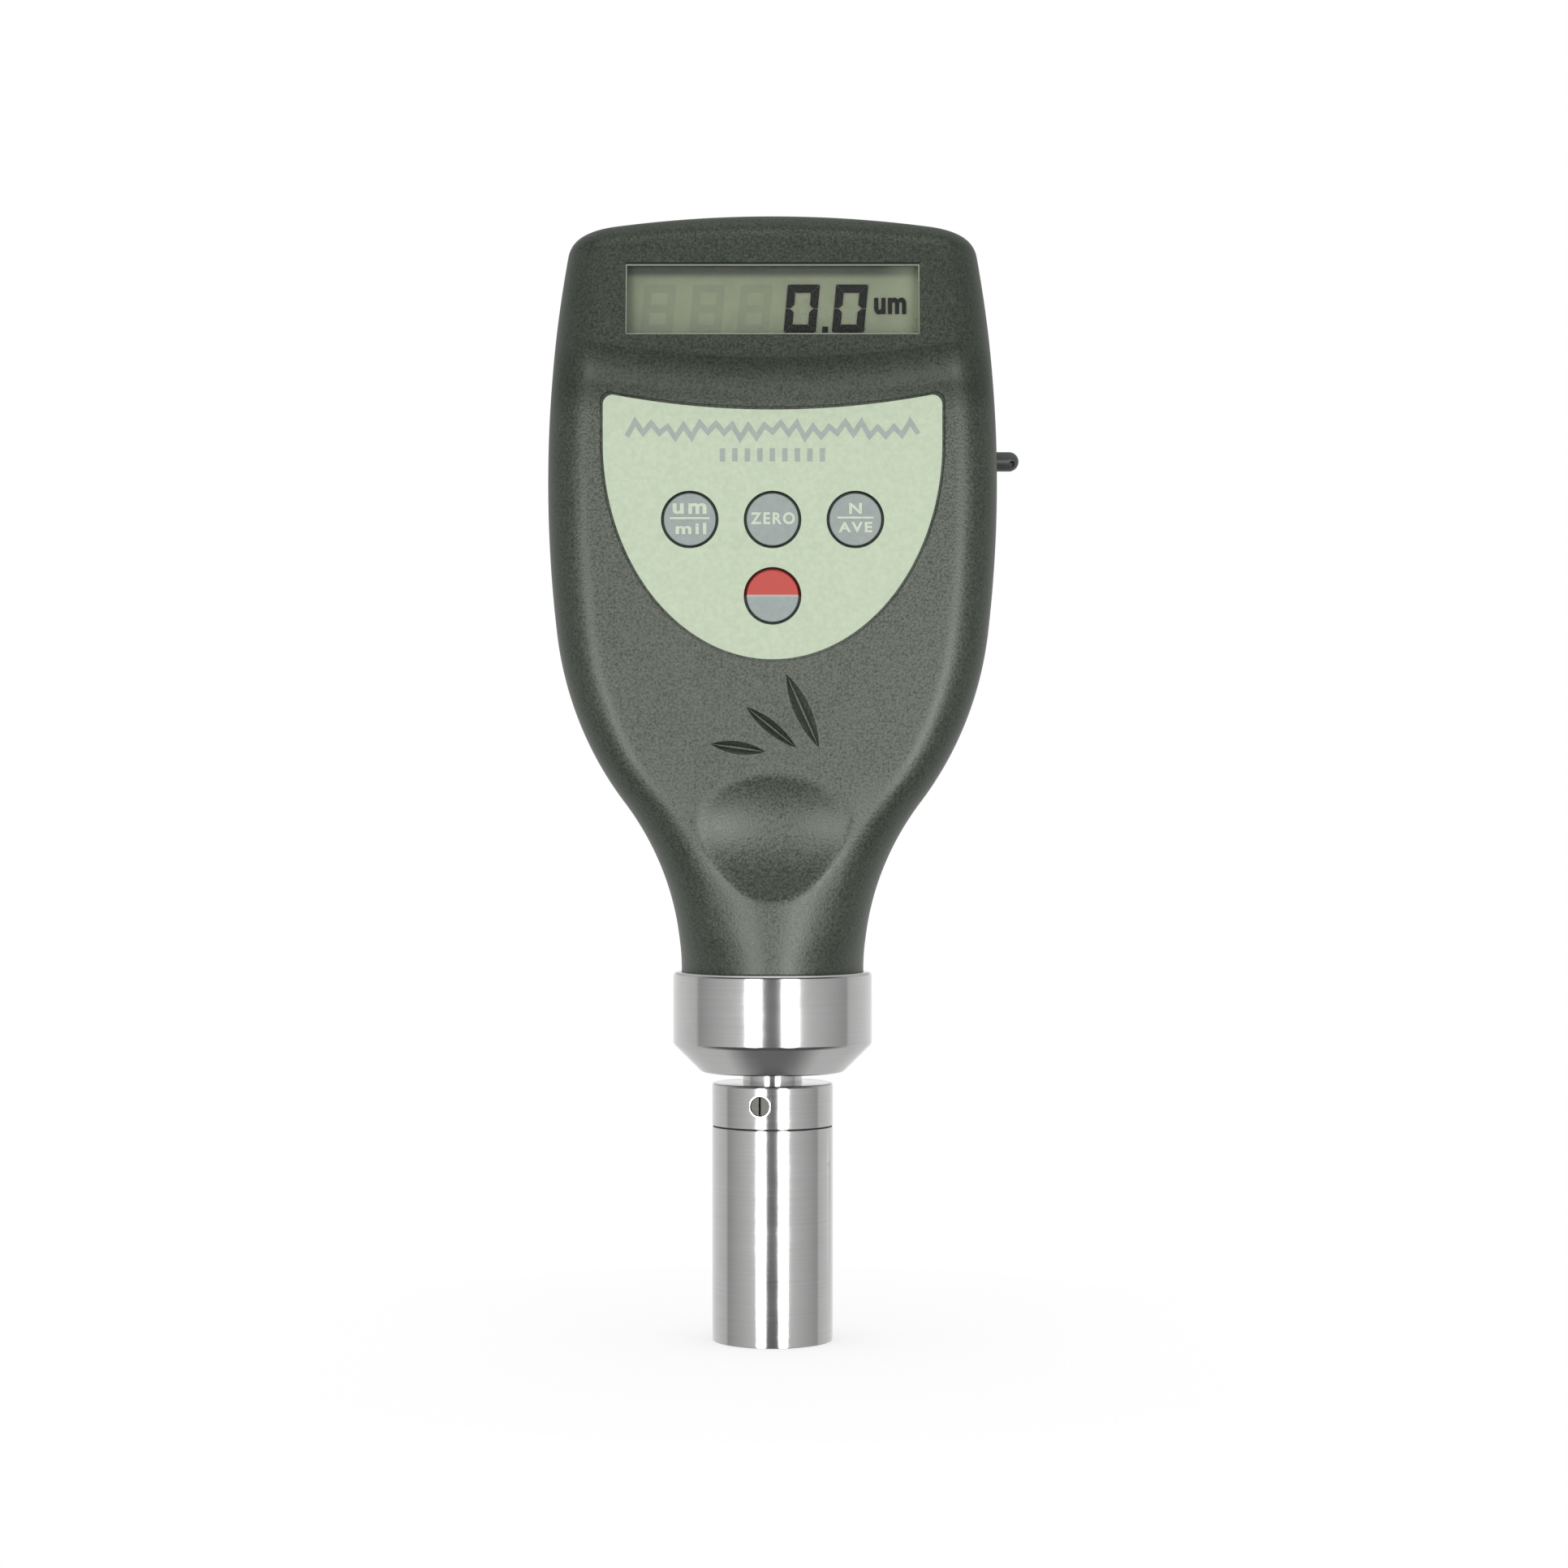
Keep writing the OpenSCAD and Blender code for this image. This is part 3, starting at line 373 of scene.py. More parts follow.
def back_rows(t):
    rows = [level(z, BACK_D, t) for z in np.linspace(Z_BOT, Z_RIM, 6)]
    rows += [level(z, BACK_D, t) for z in np.linspace(Z_RIM, Z_BEND, 90)[1:]]
    rows += [bent(blend(Z_BEND, Z_TOP - TOP_R, k), blend(Z_BEND, Z_CORNER, k), BACK_D, t, 0)
             for k in np.linspace(0, 1, 24)[1:]]
    rows += [capped(k, BACK_D, t, 0) for k in np.linspace(0, 1, 11)[1:]]
    return rows


def skin(rows):
    """Grid of points over one skin of a casing half, up to the top seam."""
    grid = []
    for zc, zs, w, f, e, b, lift in rows:
        x, y = section(w, f, e, b, lift)
        grid.append(np.stack([x, y, blend(zc, zs, (x / w) ** 2)], axis=1))
    last = grid[-1]
    grid += [last * np.array([1, 1 - k, 1]) for k in np.linspace(0, 1, 6)[1:]]
    return np.array(grid)


def dished(points, under):
    """Press the thumb dimple into front points; under is how far below the dimple they lie."""
    rx = ((DIMPLE_W / 2) ** 2 + DIMPLE_D ** 2) / (2 * DIMPLE_D)
    rz = ((DIMPLE_H / 2) ** 2 + DIMPLE_D ** 2) / (2 * DIMPLE_D)
    x, y, z = points[..., 0], points[..., 1], points[..., 2]
    turn_r = rz - rx + np.sqrt(np.maximum(rx * rx - x * x, 0))
    drop = turn_r ** 2 - (z - Z_DIMPLE) ** 2
    floor = -depth_at(Z_DIMPLE, FRONT_D) - rz + DIMPLE_D + np.sqrt(np.maximum(drop, 0)) + under
    held = (drop <= 0) | (turn_r <= 0) | (y > -4)
    out = points.copy()
    out[..., 1] = np.where(held, y, soft_max(y, floor, 0.3))
    return out


# Mesh helpers
def put(name, data):
    """New object in the scene for a mesh or a curve."""
    obj = bpy.data.objects.new(name, data)
    bpy.context.scene.collection.objects.link(obj)
    return obj


def new_object(name, verts, faces):
    """New mesh object from points in millimetres."""
    mesh = bpy.data.meshes.new(name)
    mesh.from_pydata([tuple(float(c) * MM for c in v) for v in verts], [], faces)
    return put(name, mesh)


def weld(obj):
    work = bmesh.new()
    work.from_mesh(obj.data)
    bmesh.ops.remove_doubles(work, verts=work.verts, dist=2e-6)
    bmesh.ops.dissolve_degenerate(work, edges=work.edges, dist=1e-7)
    bmesh.ops.recalc_face_normals(work, faces=work.faces)
    work.to_mesh(obj.data)
    work.free()
    return obj


def bake(obj):
    """Make the evaluated mesh the object's own and drop its modifiers."""
    shape = obj.evaluated_get(bpy.context.evaluated_depsgraph_get())
    mesh = bpy.data.meshes.new_from_object(shape)
    mesh.name = obj.name
    obj.modifiers.clear()
    obj.data = mesh
    return obj


def combine(obj, tools, operation):
    """Exact Boolean of obj with a set of tool objects, which are used up."""
    group = bpy.data.collections.new("tools")
    bpy.context.scene.collection.children.link(group)
    for tool in tools:
        bpy.context.scene.collection.objects.unlink(tool)
        group.objects.link(tool)
    cut = obj.modifiers.new("cut", "BOOLEAN")
    cut.operation = operation
    cut.operand_type = "COLLECTION"
    cut.collection = group
    cut.solver = "EXACT"
    bake(obj)
    for tool in tools:
        bpy.data.objects.remove(tool)
    bpy.data.collections.remove(group)
    return obj


def settle(obj, material, body, node=None, sharp=32):
    """Shade a finished piece, give it its material and tie it to the frame."""
    obj.data.materials.clear()
    obj.data.materials.append(bpy.data.materials[material])
    obj.data.shade_smooth()
    obj.data.set_sharp_from_angle(angle=math.radians(sharp))
    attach(obj, body)
    if node:
        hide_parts(node)
    return obj


def block(name, lo, hi):
    verts = [(x, y, z) for x in (lo[0], hi[0]) for y in (lo[1], hi[1]) for z in (lo[2], hi[2])]
    faces = [(0, 1, 3, 2), (4, 6, 7, 5), (0, 4, 5, 1), (2, 3, 7, 6), (0, 2, 6, 4), (1, 5, 7, 3)]
    return new_object(name, verts, faces)


def turned(name, profile, axis="Z", centre=(0, 0, 0), steps=128):
    """Solid turned from a closed profile of (radius, height); height runs along +Z, -Y or +X."""
    pts = np.array(profile, dtype=float)
    n = len(pts)
    angle = np.arange(steps) * 2 * math.pi / steps
    c = np.cos(angle)[:, None] * pts[None, :, 0]
    s = np.sin(angle)[:, None] * pts[None, :, 0]
    h = np.repeat(pts[None, :, 1], steps, axis=0)
    grid = {"Z": (c, s, h), "Y": (c, -h, s), "X": (h, c, s)}[axis]
    verts = np.stack(grid, axis=-1).reshape(-1, 3) + np.array(centre, dtype=float)
    faces = []
    for k in range(steps):
        for i in range(n):
            j = (i + 1) % n
            if pts[i, 0] == 0 and pts[j, 0] == 0:
                continue
            m = (k + 1) % steps
            faces.append((k * n + i, m * n + i, m * n + j, k * n + j))
    return weld(new_object(name, verts, faces))


def rod(r, a, b):
    """Profile of a plain cylinder from height a to height b."""
    return [(0, a), (r, a), (r, b), (0, b)]


def rectangle(x0, z0, x1, z1):
    return [(x0, z0), (x1, z0), (x1, z1), (x0, z1)]


def arc_points(x, z, r, a0, a1, n=6):
    return [(x + r * math.cos(math.radians(a)), z + r * math.sin(math.radians(a)))
            for a in np.linspace(a0, a1, n + 1)]


def plates(name, outlines, y0, y1):
    """Flat prisms from (x, z) outlines between the front depth y0 and the back depth y1."""
    verts = []
    faces = []
    for outline in outlines:
        pts = [tuple(p) for p in outline]
        n = len(pts)
        area = sum(pts[i][0] * pts[(i + 1) % n][1] - pts[(i + 1) % n][0] * pts[i][1] for i in range(n))
        if area < 0:
            pts.reverse()
        base = len(verts)
        verts += [(x, y0, z) for x, z in pts]
        verts += [(x, y1, z) for x, z in pts]
        faces.append(tuple(base + i for i in range(n)))
        faces.append(tuple(base + n + i for i in reversed(range(n))))
        for i in range(n):
            j = (i + 1) % n
            faces.append((base + i, base + n + i, base + n + j, base + j))
    return new_object(name, verts, faces)


def stand_up(obj, x, z, y):
    """Turn a flat drawing made on the ground to face the front, in place."""
    place = Matrix.Translation(Vector((x, y, z)) * MM) @ Matrix.Rotation(math.pi / 2, 4, "X")
    obj.data.transform(place)
    return obj


def drawn_mesh(name, curve):
    """Mesh of a curve or a text, which is drawn once and taken away."""
    drawn = put(name, curve)
    shape = drawn.evaluated_get(bpy.context.evaluated_depsgraph_get())
    mesh = bpy.data.meshes.new_from_object(shape)
    bpy.data.objects.remove(drawn)
    return mesh


def sheet(name, outlines, thick, bevel, y_front):
    """Sheet with holes, from (x, z) outlines, with a softened edge; its front lies at y_front."""
    curve = bpy.data.curves.new(name, "CURVE")
    curve.dimensions = "2D"
    curve.fill_mode = "BOTH"
    curve.extrude = (thick / 2 - bevel) * MM
    curve.bevel_depth = bevel * MM
    curve.bevel_resolution = 2
    curve.offset = -bevel * MM
    for outline in outlines:
        line = curve.splines.new("POLY")
        line.points.add(len(outline) - 1)
        for point, (x, z) in zip(line.points, outline):
            point.co = (x * MM, z * MM, 0, 1)
        line.use_cyclic_u = True
    return weld(stand_up(put(name, drawn_mesh(name, curve)), 0, 0, y_front + thick / 2))


def lettering(name, text, x, z, wide, high, y, bold=0.035, space=1.25):
    """One word made to a given width and height, standing on the front at depth y."""
    curve = bpy.data.curves.new(name, "FONT")
    curve.body = text
    curve.extrude = 0.01
    curve.offset = bold
    curve.space_character = space
    curve.resolution_u = 6
    mesh = drawn_mesh(name, curve)
    co = np.empty(len(mesh.vertices) * 3)
    mesh.vertices.foreach_get("co", co)
    co = co.reshape(-1, 3)
    lo, hi = co.min(axis=0), co.max(axis=0)
    size = np.array([wide, high, 0.03]) * MM / np.maximum(hi - lo, 1e-9)
    mesh.vertices.foreach_set("co", ((co - (lo + hi) / 2) * size).ravel())
    return weld(stand_up(put(name, mesh), x, z, y))


def join(name, objects):
    """One object from several meshes in place."""
    work = bmesh.new()
    for obj in objects:
        work.from_mesh(obj.data)
        bpy.data.objects.remove(obj)
    mesh = bpy.data.meshes.new(name)
    work.to_mesh(mesh)
    work.free()
    return put(name, mesh)


def twin(node, name):
    """Merged copy of a CAD node's mesh, to be shaded smooth."""
    return weld(put(name, bpy.data.objects[node].data.copy()))


# Geometry node helpers
def node_tree(name, inputs):
    tree = bpy.data.node_groups.new(name, "GeometryNodeTree")
    tree.interface.new_socket("Geometry", in_out="INPUT", socket_type="NodeSocketGeometry")
    for label, kind in inputs:
        tree.interface.new_socket(label, in_out="INPUT", socket_type=kind)
    tree.interface.new_socket("Geometry", in_out="OUTPUT", socket_type="NodeSocketGeometry")
    start = tree.nodes.new("NodeGroupInput")
    end = tree.nodes.new("NodeGroupOutput")
    return tree, start, end


def grow(obj, tree, values):
    """Run a node tree on an object with its inputs set by name, and keep the plain mesh."""
    mod = obj.modifiers.new(tree.name, "NODES")
    ids = {item.name: item.identifier for item in tree.interface.items_tree if item.in_out == "INPUT"}
    mod.node_group = tree
    for label, value in values.items():
        mod[ids[label]] = value
    return bake(obj)


def repeat_tree():
    """Copies of one object on the points of a mesh."""
    tree, start, end = node_tree("Copies on points", [("Copy", "NodeSocketObject"),
                                                      ("Material", "NodeSocketMaterial")])
    info = tree.nodes.new("GeometryNodeObjectInfo")
    spread = tree.nodes.new("GeometryNodeInstanceOnPoints")
    real = tree.nodes.new("GeometryNodeRealizeInstances")
    paint = tree.nodes.new("GeometryNodeSetMaterial")
    link = tree.links.new
    link(start.outputs["Copy"], info.inputs["Object"])
    link(start.outputs["Geometry"], spread.inputs["Points"])
    link(info.outputs["Geometry"], spread.inputs["Instance"])
    link(spread.outputs["Instances"], real.inputs["Geometry"])
    link(real.outputs["Geometry"], paint.inputs["Geometry"])
    link(start.outputs["Material"], paint.inputs["Material"])
    link(paint.outputs["Geometry"], end.inputs["Geometry"])
    return tree


def coil_tree():
    """A wire spring wound up the probe's axis."""
    tree, start, end = node_tree("Wire spring", [("Turns", "NodeSocketFloat"), ("Radius", "NodeSocketFloat"),
                                                 ("Height", "NodeSocketFloat"), ("Wire", "NodeSocketFloat"),
                                                 ("Foot", "NodeSocketVector"),
                                                 ("Material", "NodeSocketMaterial")])
    coil = tree.nodes.new("GeometryNodeCurveSpiral")
    coil.inputs["Resolution"].default_value = 40
    ring = tree.nodes.new("GeometryNodeCurvePrimitiveCircle")
    ring.inputs["Resolution"].default_value = 12
    wire = tree.nodes.new("GeometryNodeCurveToMesh")
    wire.inputs["Fill Caps"].default_value = True
    move = tree.nodes.new("GeometryNodeTransform")
    real = tree.nodes.new("GeometryNodeRealizeInstances")
    paint = tree.nodes.new("GeometryNodeSetMaterial")
    link = tree.links.new
    link(start.outputs["Turns"], coil.inputs["Rotations"])
    link(start.outputs["Radius"], coil.inputs["Start Radius"])
    link(start.outputs["Radius"], coil.inputs["End Radius"])
    link(start.outputs["Height"], coil.inputs["Height"])
    link(start.outputs["Wire"], ring.inputs["Radius"])
    link(coil.outputs["Curve"], wire.inputs["Curve"])
    link(ring.outputs["Curve"], wire.inputs["Profile Curve"])
    link(wire.outputs["Mesh"], move.inputs["Geometry"])
    link(start.outputs["Foot"], move.inputs["Translation"])
    link(move.outputs["Geometry"], real.inputs["Geometry"])
    link(real.outputs["Geometry"], paint.inputs["Geometry"])
    link(start.outputs["Material"], paint.inputs["Material"])
    link(paint.outputs["Geometry"], end.inputs["Geometry"])
    return tree


# Materials
PATCH_SHARE = 0.07
BUMP_D = 0.00004


def shader_group(name, inputs, outputs):
    group = bpy.data.node_groups.new(name, "ShaderNodeTree")
    for label, kind, default in inputs:
        socket = group.interface.new_socket(label, in_out="INPUT", socket_type=kind)
        if default is not None:
            socket.default_value = default
    for label, kind in outputs:
        group.interface.new_socket(label, in_out="OUTPUT", socket_type=kind)
    return group, group.nodes.new("NodeGroupInput"), group.nodes.new("NodeGroupOutput")


def grain_group():
    """Fine moulded grain: a tone and a height that vary from grain to grain and patch to patch."""
    group, start, end = shader_group(
        "Moulded grain",
        [("Vector", "NodeSocketVector", None), ("Grains", "NodeSocketFloat", 2600.0)],
        [("Tone", "NodeSocketFloat"), ("Height", "NodeSocketFloat")])
    fine = group.nodes.new("ShaderNodeTexNoise")
    fine.inputs["Detail"].default_value = 1.0
    wide = group.nodes.new("ShaderNodeTexNoise")
    wide.inputs["Detail"].default_value = 2.0
    mix = group.nodes.new("ShaderNodeMix")
    mix.inputs["Factor"].default_value = 0.1
    link = group.links.new
    link(start.outputs["Vector"], fine.inputs["Vector"])
    link(start.outputs["Vector"], wide.inputs["Vector"])
    link(start.outputs["Grains"], fine.inputs["Scale"])
    link(times(group, start.outputs["Grains"], PATCH_SHARE), wide.inputs["Scale"])
    link(fine.outputs["Fac"], mix.inputs["A"])
    link(wide.outputs["Fac"], mix.inputs["B"])
    link(mix.outputs["Result"], end.inputs["Tone"])
    link(fine.outputs["Fac"], end.inputs["Height"])
    return group


def turned_group():
    """Lathe lines round the probe's axis, with a few finer scratches along it."""
    group, start, end = shader_group(
        "Turned lines",
        [("Vector", "NodeSocketVector", None), ("Lines", "NodeSocketFloat", 9000.0)],
        [("Tone", "NodeSocketFloat"), ("Height", "NodeSocketFloat")])
    stretch = group.nodes.new("ShaderNodeVectorMath")
    stretch.operation = "MULTIPLY"
    scale = group.nodes.new("ShaderNodeCombineXYZ")
    scale.inputs["X"].default_value = 60.0
    scale.inputs["Y"].default_value = 60.0
    lines = group.nodes.new("ShaderNodeTexNoise")
    lines.inputs["Scale"].default_value = 1.0
    lines.inputs["Detail"].default_value = 2.0
    soft = group.nodes.new("ShaderNodeTexNoise")
    soft.inputs["Scale"].default_value = 260.0
    soft.inputs["Detail"].default_value = 3.0
    mix = group.nodes.new("ShaderNodeMix")
    mix.inputs["Factor"].default_value = 0.4
    link = group.links.new
    link(start.outputs["Lines"], scale.inputs["Z"])
    link(start.outputs["Vector"], stretch.inputs[0])
    link(scale.outputs["Vector"], stretch.inputs[1])
    link(stretch.outputs["Vector"], lines.inputs["Vector"])
    link(start.outputs["Vector"], soft.inputs["Vector"])
    link(lines.outputs["Fac"], mix.inputs["A"])
    link(soft.outputs["Fac"], mix.inputs["B"])
    link(mix.outputs["Result"], end.inputs["Tone"])
    link(lines.outputs["Fac"], end.inputs["Height"])
    return group


def start_material(name):
    mat = bpy.data.materials.new(name)
    mat.use_nodes = True
    return mat


def times(tree, value, share):
    """A value multiplied by a number or by another value."""
    node = tree.nodes.new("ShaderNodeMath")
    node.operation = "MULTIPLY"
    tree.links.new(value, node.inputs[0])
    if isinstance(share, float):
        node.inputs[1].default_value = share
    else:
        tree.links.new(share, node.inputs[1])
    return node.outputs[0]


def ranged(tree, source, lo, hi):
    """A map of 0.3 to 0.7 on to lo to hi."""
    node = tree.nodes.new("ShaderNodeMapRange")
    node.inputs["From Min"].default_value = 0.3
    node.inputs["From Max"].default_value = 0.7
    node.inputs["To Min"].default_value = lo
    node.inputs["To Max"].default_value = hi
    tree.links.new(source, node.inputs["Value"])
    return node.outputs["Result"]


def two_tone(tree, factor, a, b):
    node = tree.nodes.new("ShaderNodeMix")
    node.data_type = "RGBA"
    node.inputs["A"].default_value = (*a, 1)
    node.inputs["B"].default_value = (*b, 1)
    tree.links.new(factor, node.inputs["Factor"])
    return node.outputs["Result"]


def textured(name, colour, rough, kind="Moulded grain", density=None, contrast=0.1, bump=0.15, metal=0.0,
             spread=0.06, gloss=0.5):
    """A material whose colour, roughness and height vary with one of the shared textures."""
    tree = start_material(name).node_tree
    shader = tree.nodes["Principled BSDF"]
    place = tree.nodes.new("ShaderNodeTexCoord")
    group = tree.nodes.new("ShaderNodeGroup")
    group.node_tree = bpy.data.node_groups[kind]
    if density:
        group.inputs[1].default_value = density
    tree.links.new(place.outputs["Object"], group.inputs["Vector"])
    tone = ranged(tree, group.outputs["Tone"], 0.0, 1.0)
    dark = tuple(c * (1 - contrast) for c in colour)
    light = tuple(min(c * (1 + contrast), 1) for c in colour)
    base = two_tone(tree, tone, dark, light)
    tree.links.new(base, shader.inputs["Base Color"])
    tree.links.new(ranged(tree, group.outputs["Tone"], rough - spread, rough + spread),
                   shader.inputs["Roughness"])
    shader.inputs["Metallic"].default_value = metal
    shader.inputs["Specular IOR Level"].default_value = gloss
    raised = tree.nodes.new("ShaderNodeBump")
    raised.inputs["Strength"].default_value = bump
    raised.inputs["Distance"].default_value = BUMP_D
    tree.links.new(group.outputs["Height"], raised.inputs["Height"])
    tree.links.new(raised.outputs["Normal"], shader.inputs["Normal"])
    return SimpleNamespace(tree=tree, shader=shader, place=place, base=base, tone=group.outputs["Tone"])


def edge_mask(tree, place, axis, at, width):
    """A value that goes from 0 to 1 over a width past a place along one object axis."""
    split = tree.nodes.new("ShaderNodeSeparateXYZ")
    tree.links.new(place.outputs["Object"], split.inputs["Vector"])
    node = tree.nodes.new("ShaderNodeMapRange")
    node.interpolation_type = "SMOOTHSTEP"
    node.inputs["From Min"].default_value = at
    node.inputs["From Max"].default_value = at + width
    tree.links.new(split.outputs[axis], node.inputs["Value"])
    return node.outputs["Result"]


def over(tree, base, factor, colour):
    """A colour laid over another by a factor."""
    node = tree.nodes.new("ShaderNodeMix")
    node.data_type = "RGBA"
    node.inputs["B"].default_value = (*colour, 1)
    tree.links.new(factor, node.inputs["Factor"])
    tree.links.new(base, node.inputs["A"])
    return node.outputs["Result"]


def scaled(tree, value, factor, change):
    """A value raised or lowered by a share of itself where the factor is 1."""
    share = tree.nodes.new("ShaderNodeMapRange")
    share.inputs["To Min"].default_value = 1.0
    share.inputs["To Max"].default_value = 1.0 + change
    tree.links.new(factor, share.inputs["Value"])
    return times(tree, value, share.outputs["Result"])


class GAUGE_OT_materials(bpy.types.Operator):
    """Make every material and colour the CAD pieces that are shown as they are"""

    bl_idname = "gauge.materials"
    bl_label = "Make Materials"

    def execute(self, context):
        paint = context.scene.gauge_colours
        grain = context.scene.gauge_sizes.grain
        grain_group()
        turned_group()
        for name, share in (("Casing", 1.0), ("Cover", 0.95)):
            self.moulding(name, [c * share for c in paint.case], grain)
        for name, colour in (("Overlay", paint.overlay), ("Overlay print", paint.print_grey),
                             ("Key", paint.key_grey), ("Legend", paint.legend)):
            textured(name, colour, 0.55, density=1500, contrast=0.05, bump=0.05, gloss=0.2)
        textured("Digits", paint.digits, 0.6, density=1500, contrast=0.06, bump=0.0, gloss=0.1)
        # Pale line round the window: a painted highlight standing in for light caught on the window's edge.
        textured("Trim", tint(146, 155, 138), 0.5, density=1500, contrast=0.05, bump=0.0)
        # Near-black for the dark strip and ring set where there is only shade: painted shadow.
        textured("Seam", tint(22, 24, 22), 0.7, density=1500, contrast=0.1, bump=0.0)
        textured("Ghost", [c * 0.84 for c in paint.display], 0.5, density=1500, contrast=0.03, bump=0.0)
        textured("Rubber", tint(66, 70, 69), 0.42, density=2000, contrast=0.12, bump=0.2)
        self.power_key(paint)
        self.display(paint)
        window = textured("Window", (0.9, 0.92, 0.9), 0.06, density=400, contrast=0.03, bump=0.0, spread=0.02)
        window.shader.inputs["Alpha"].default_value = 0.008
        lines = "Turned lines"
        textured("Steel", paint.steel, 0.14, lines, 9000, 0.05, 0.03, 1.0, 0.03)
        textured("Dark steel", tint(70, 70, 68), 0.4, lines, 9000, 0.12, 0.08, 1.0)
        textured("Needle steel", (0.62, 0.61, 0.6), 0.16, lines, 12000, 0.04, 0.03, 1.0, 0.03)
        textured("Spring steel", (0.5, 0.5, 0.49), 0.28, "Moulded grain", 3000, 0.08, 0.05, 1.0)
        textured("Screw steel", (0.58, 0.57, 0.55), 0.3, "Moulded grain", 4000, 0.08, 0.06, 1.0)
        textured("Frame plastic", tint(36, 38, 37), 0.5)
        textured("Button", tint(30, 31, 32), 0.45)
        textured("Board", tint(28, 84, 52), 0.45, density=900, contrast=0.18)
        textured("Chip", tint(26, 26, 28), 0.5, density=3000)
        textured("Socket", tint(222, 216, 198), 0.5)
        textured("Lead", tint(96, 98, 100), 0.5)
        textured("Brass", (0.78, 0.62, 0.32), 0.3, "Moulded grain", 1800, 0.1, 0.06, 1.0)
        textured("Bronze", (0.62, 0.42, 0.22), 0.38, "Moulded grain", 1800, 0.12, 0.08, 1.0)
        textured("Copper", (0.78, 0.38, 0.22), 0.32, lines, 5000, 0.14, 0.3, 1.0)
        self.cell()
        plain = {"contact_strips": "Rubber", "switch_bodies": "Chip", "button_units": "Button",
                 "button_zero": "Button", "button_average": "Button", "button_power": "Button",
                 "main_board": "Board", "controller_chip": "Chip", "sensor_chip": "Chip",
                 "lead_socket": "Socket", "sensor_lead": "Lead", "board_screws": "Screw steel",
                 "data_jack": "Frame plastic", "lcd_frame": "Frame plastic", "lcd_panel": "Display",
                 "display_window": "Window", "plate_contacts": "Brass", "guide_bush": "Bronze",
                 "upper_bush": "Bronze", "coil_bobbin": "Socket", "coil_windings": "Copper",
                 "foot_plug": "Steel", "needle_core": "Dark steel", "stem": "Steel"}
        for node, material in plain.items():
            obj = bpy.data.objects[node]
            obj.data.materials.clear()
            obj.data.materials.append(bpy.data.materials[material])
        return {"FINISHED"}

    def moulding(self, name, colour, grain):
        """Casing plastic, with gloss that varies by patch; on the front its gloss is lowered from just under
        the crease upward and partly given back above the crest, as painted shade round the crease and on the
        bezel.
        """
        made = textured(name, colour, 0.44, density=grain, contrast=0.15, bump=0.8, spread=0.1)
        gloss = ranged(made.tree, made.tone, 0.45, 1.05)
        # Painted shade: on the front, gloss is lowered from just under the crease upward and partly given
        # back above the crest.
        ahead = edge_mask(made.tree, made.place, "Y", -0.007, -0.004)
        for at, width, change in ((0.131, 0.0045, -0.52), (0.1385, 0.0035, 0.35)):
            crease_shade = times(made.tree, ahead, edge_mask(made.tree, made.place, "Z", at, width))
            gloss = scaled(made.tree, gloss, crease_shade, change)
        made.tree.links.new(gloss, made.shader.inputs["Specular IOR Level"])
        made.shader.inputs["Specular Tint"].default_value = (0.94, 1.0, 0.88, 1)

    def layered(self, made, layers):
        """Lay colours over a material's own, as (axis, from, width, share, colour)."""
        base = made.base
        for axis, at, width, share, colour in layers:
            mask = edge_mask(made.tree, made.place, axis, at, width)
            base = over(made.tree, base, times(made.tree, mask, share), colour)
        made.tree.links.new(base, made.shader.inputs["Base Color"])

    def power_key(self, paint):
        """Red over grey, with a thin pale line where they meet."""
        made = textured("Power key", paint.key_grey, 0.5, density=1500, contrast=0.05, bump=0.05, gloss=0.2)
        split = (KEYS["power"][1] + 0.1) * MM
        self.layered(made, (("Z", split - 0.0003, 0.0001, 1.0, tint(182, 180, 176)),
                            ("Z", split, 0.00008, 1.0, tuple(paint.key_red))))

    def display(self, paint):
        """Display glass, with a painted shadow under the window's top edge, painted shade at its left and
        painted light at its right.
        """
        made = textured("Display", paint.display, 0.42, density=900, contrast=0.02, bump=0.0)
        side = WINDOW[0] / 2 * MM
        top = (WINDOW[2] + WINDOW[1] / 2) * MM
        # Painted shadow under the top edge, painted shade at the left, painted light at the right.
        painted_shade_and_light = (("Z", top - 0.0021, 0.0012, 0.92, 0.2), ("X", 0.0016 - side, -0.0016, 0.35, 0.3),
                  ("X", side - 0.006, 0.005, 0.4, 1.8))
        self.layered(made, [(*mask, tuple(c * tone for c in paint.display)) for *mask, tone in painted_shade_and_light])

    def cell(self):
        """Plain printed sleeve: slate with one pale band near an end."""
        made = textured("Cell", tint(74, 84, 96), 0.35, density=800, contrast=0.06, bump=0.03)
        self.layered(made, (("Z", 0.144, 0.0002, 1.0, tint(188, 190, 188)),))


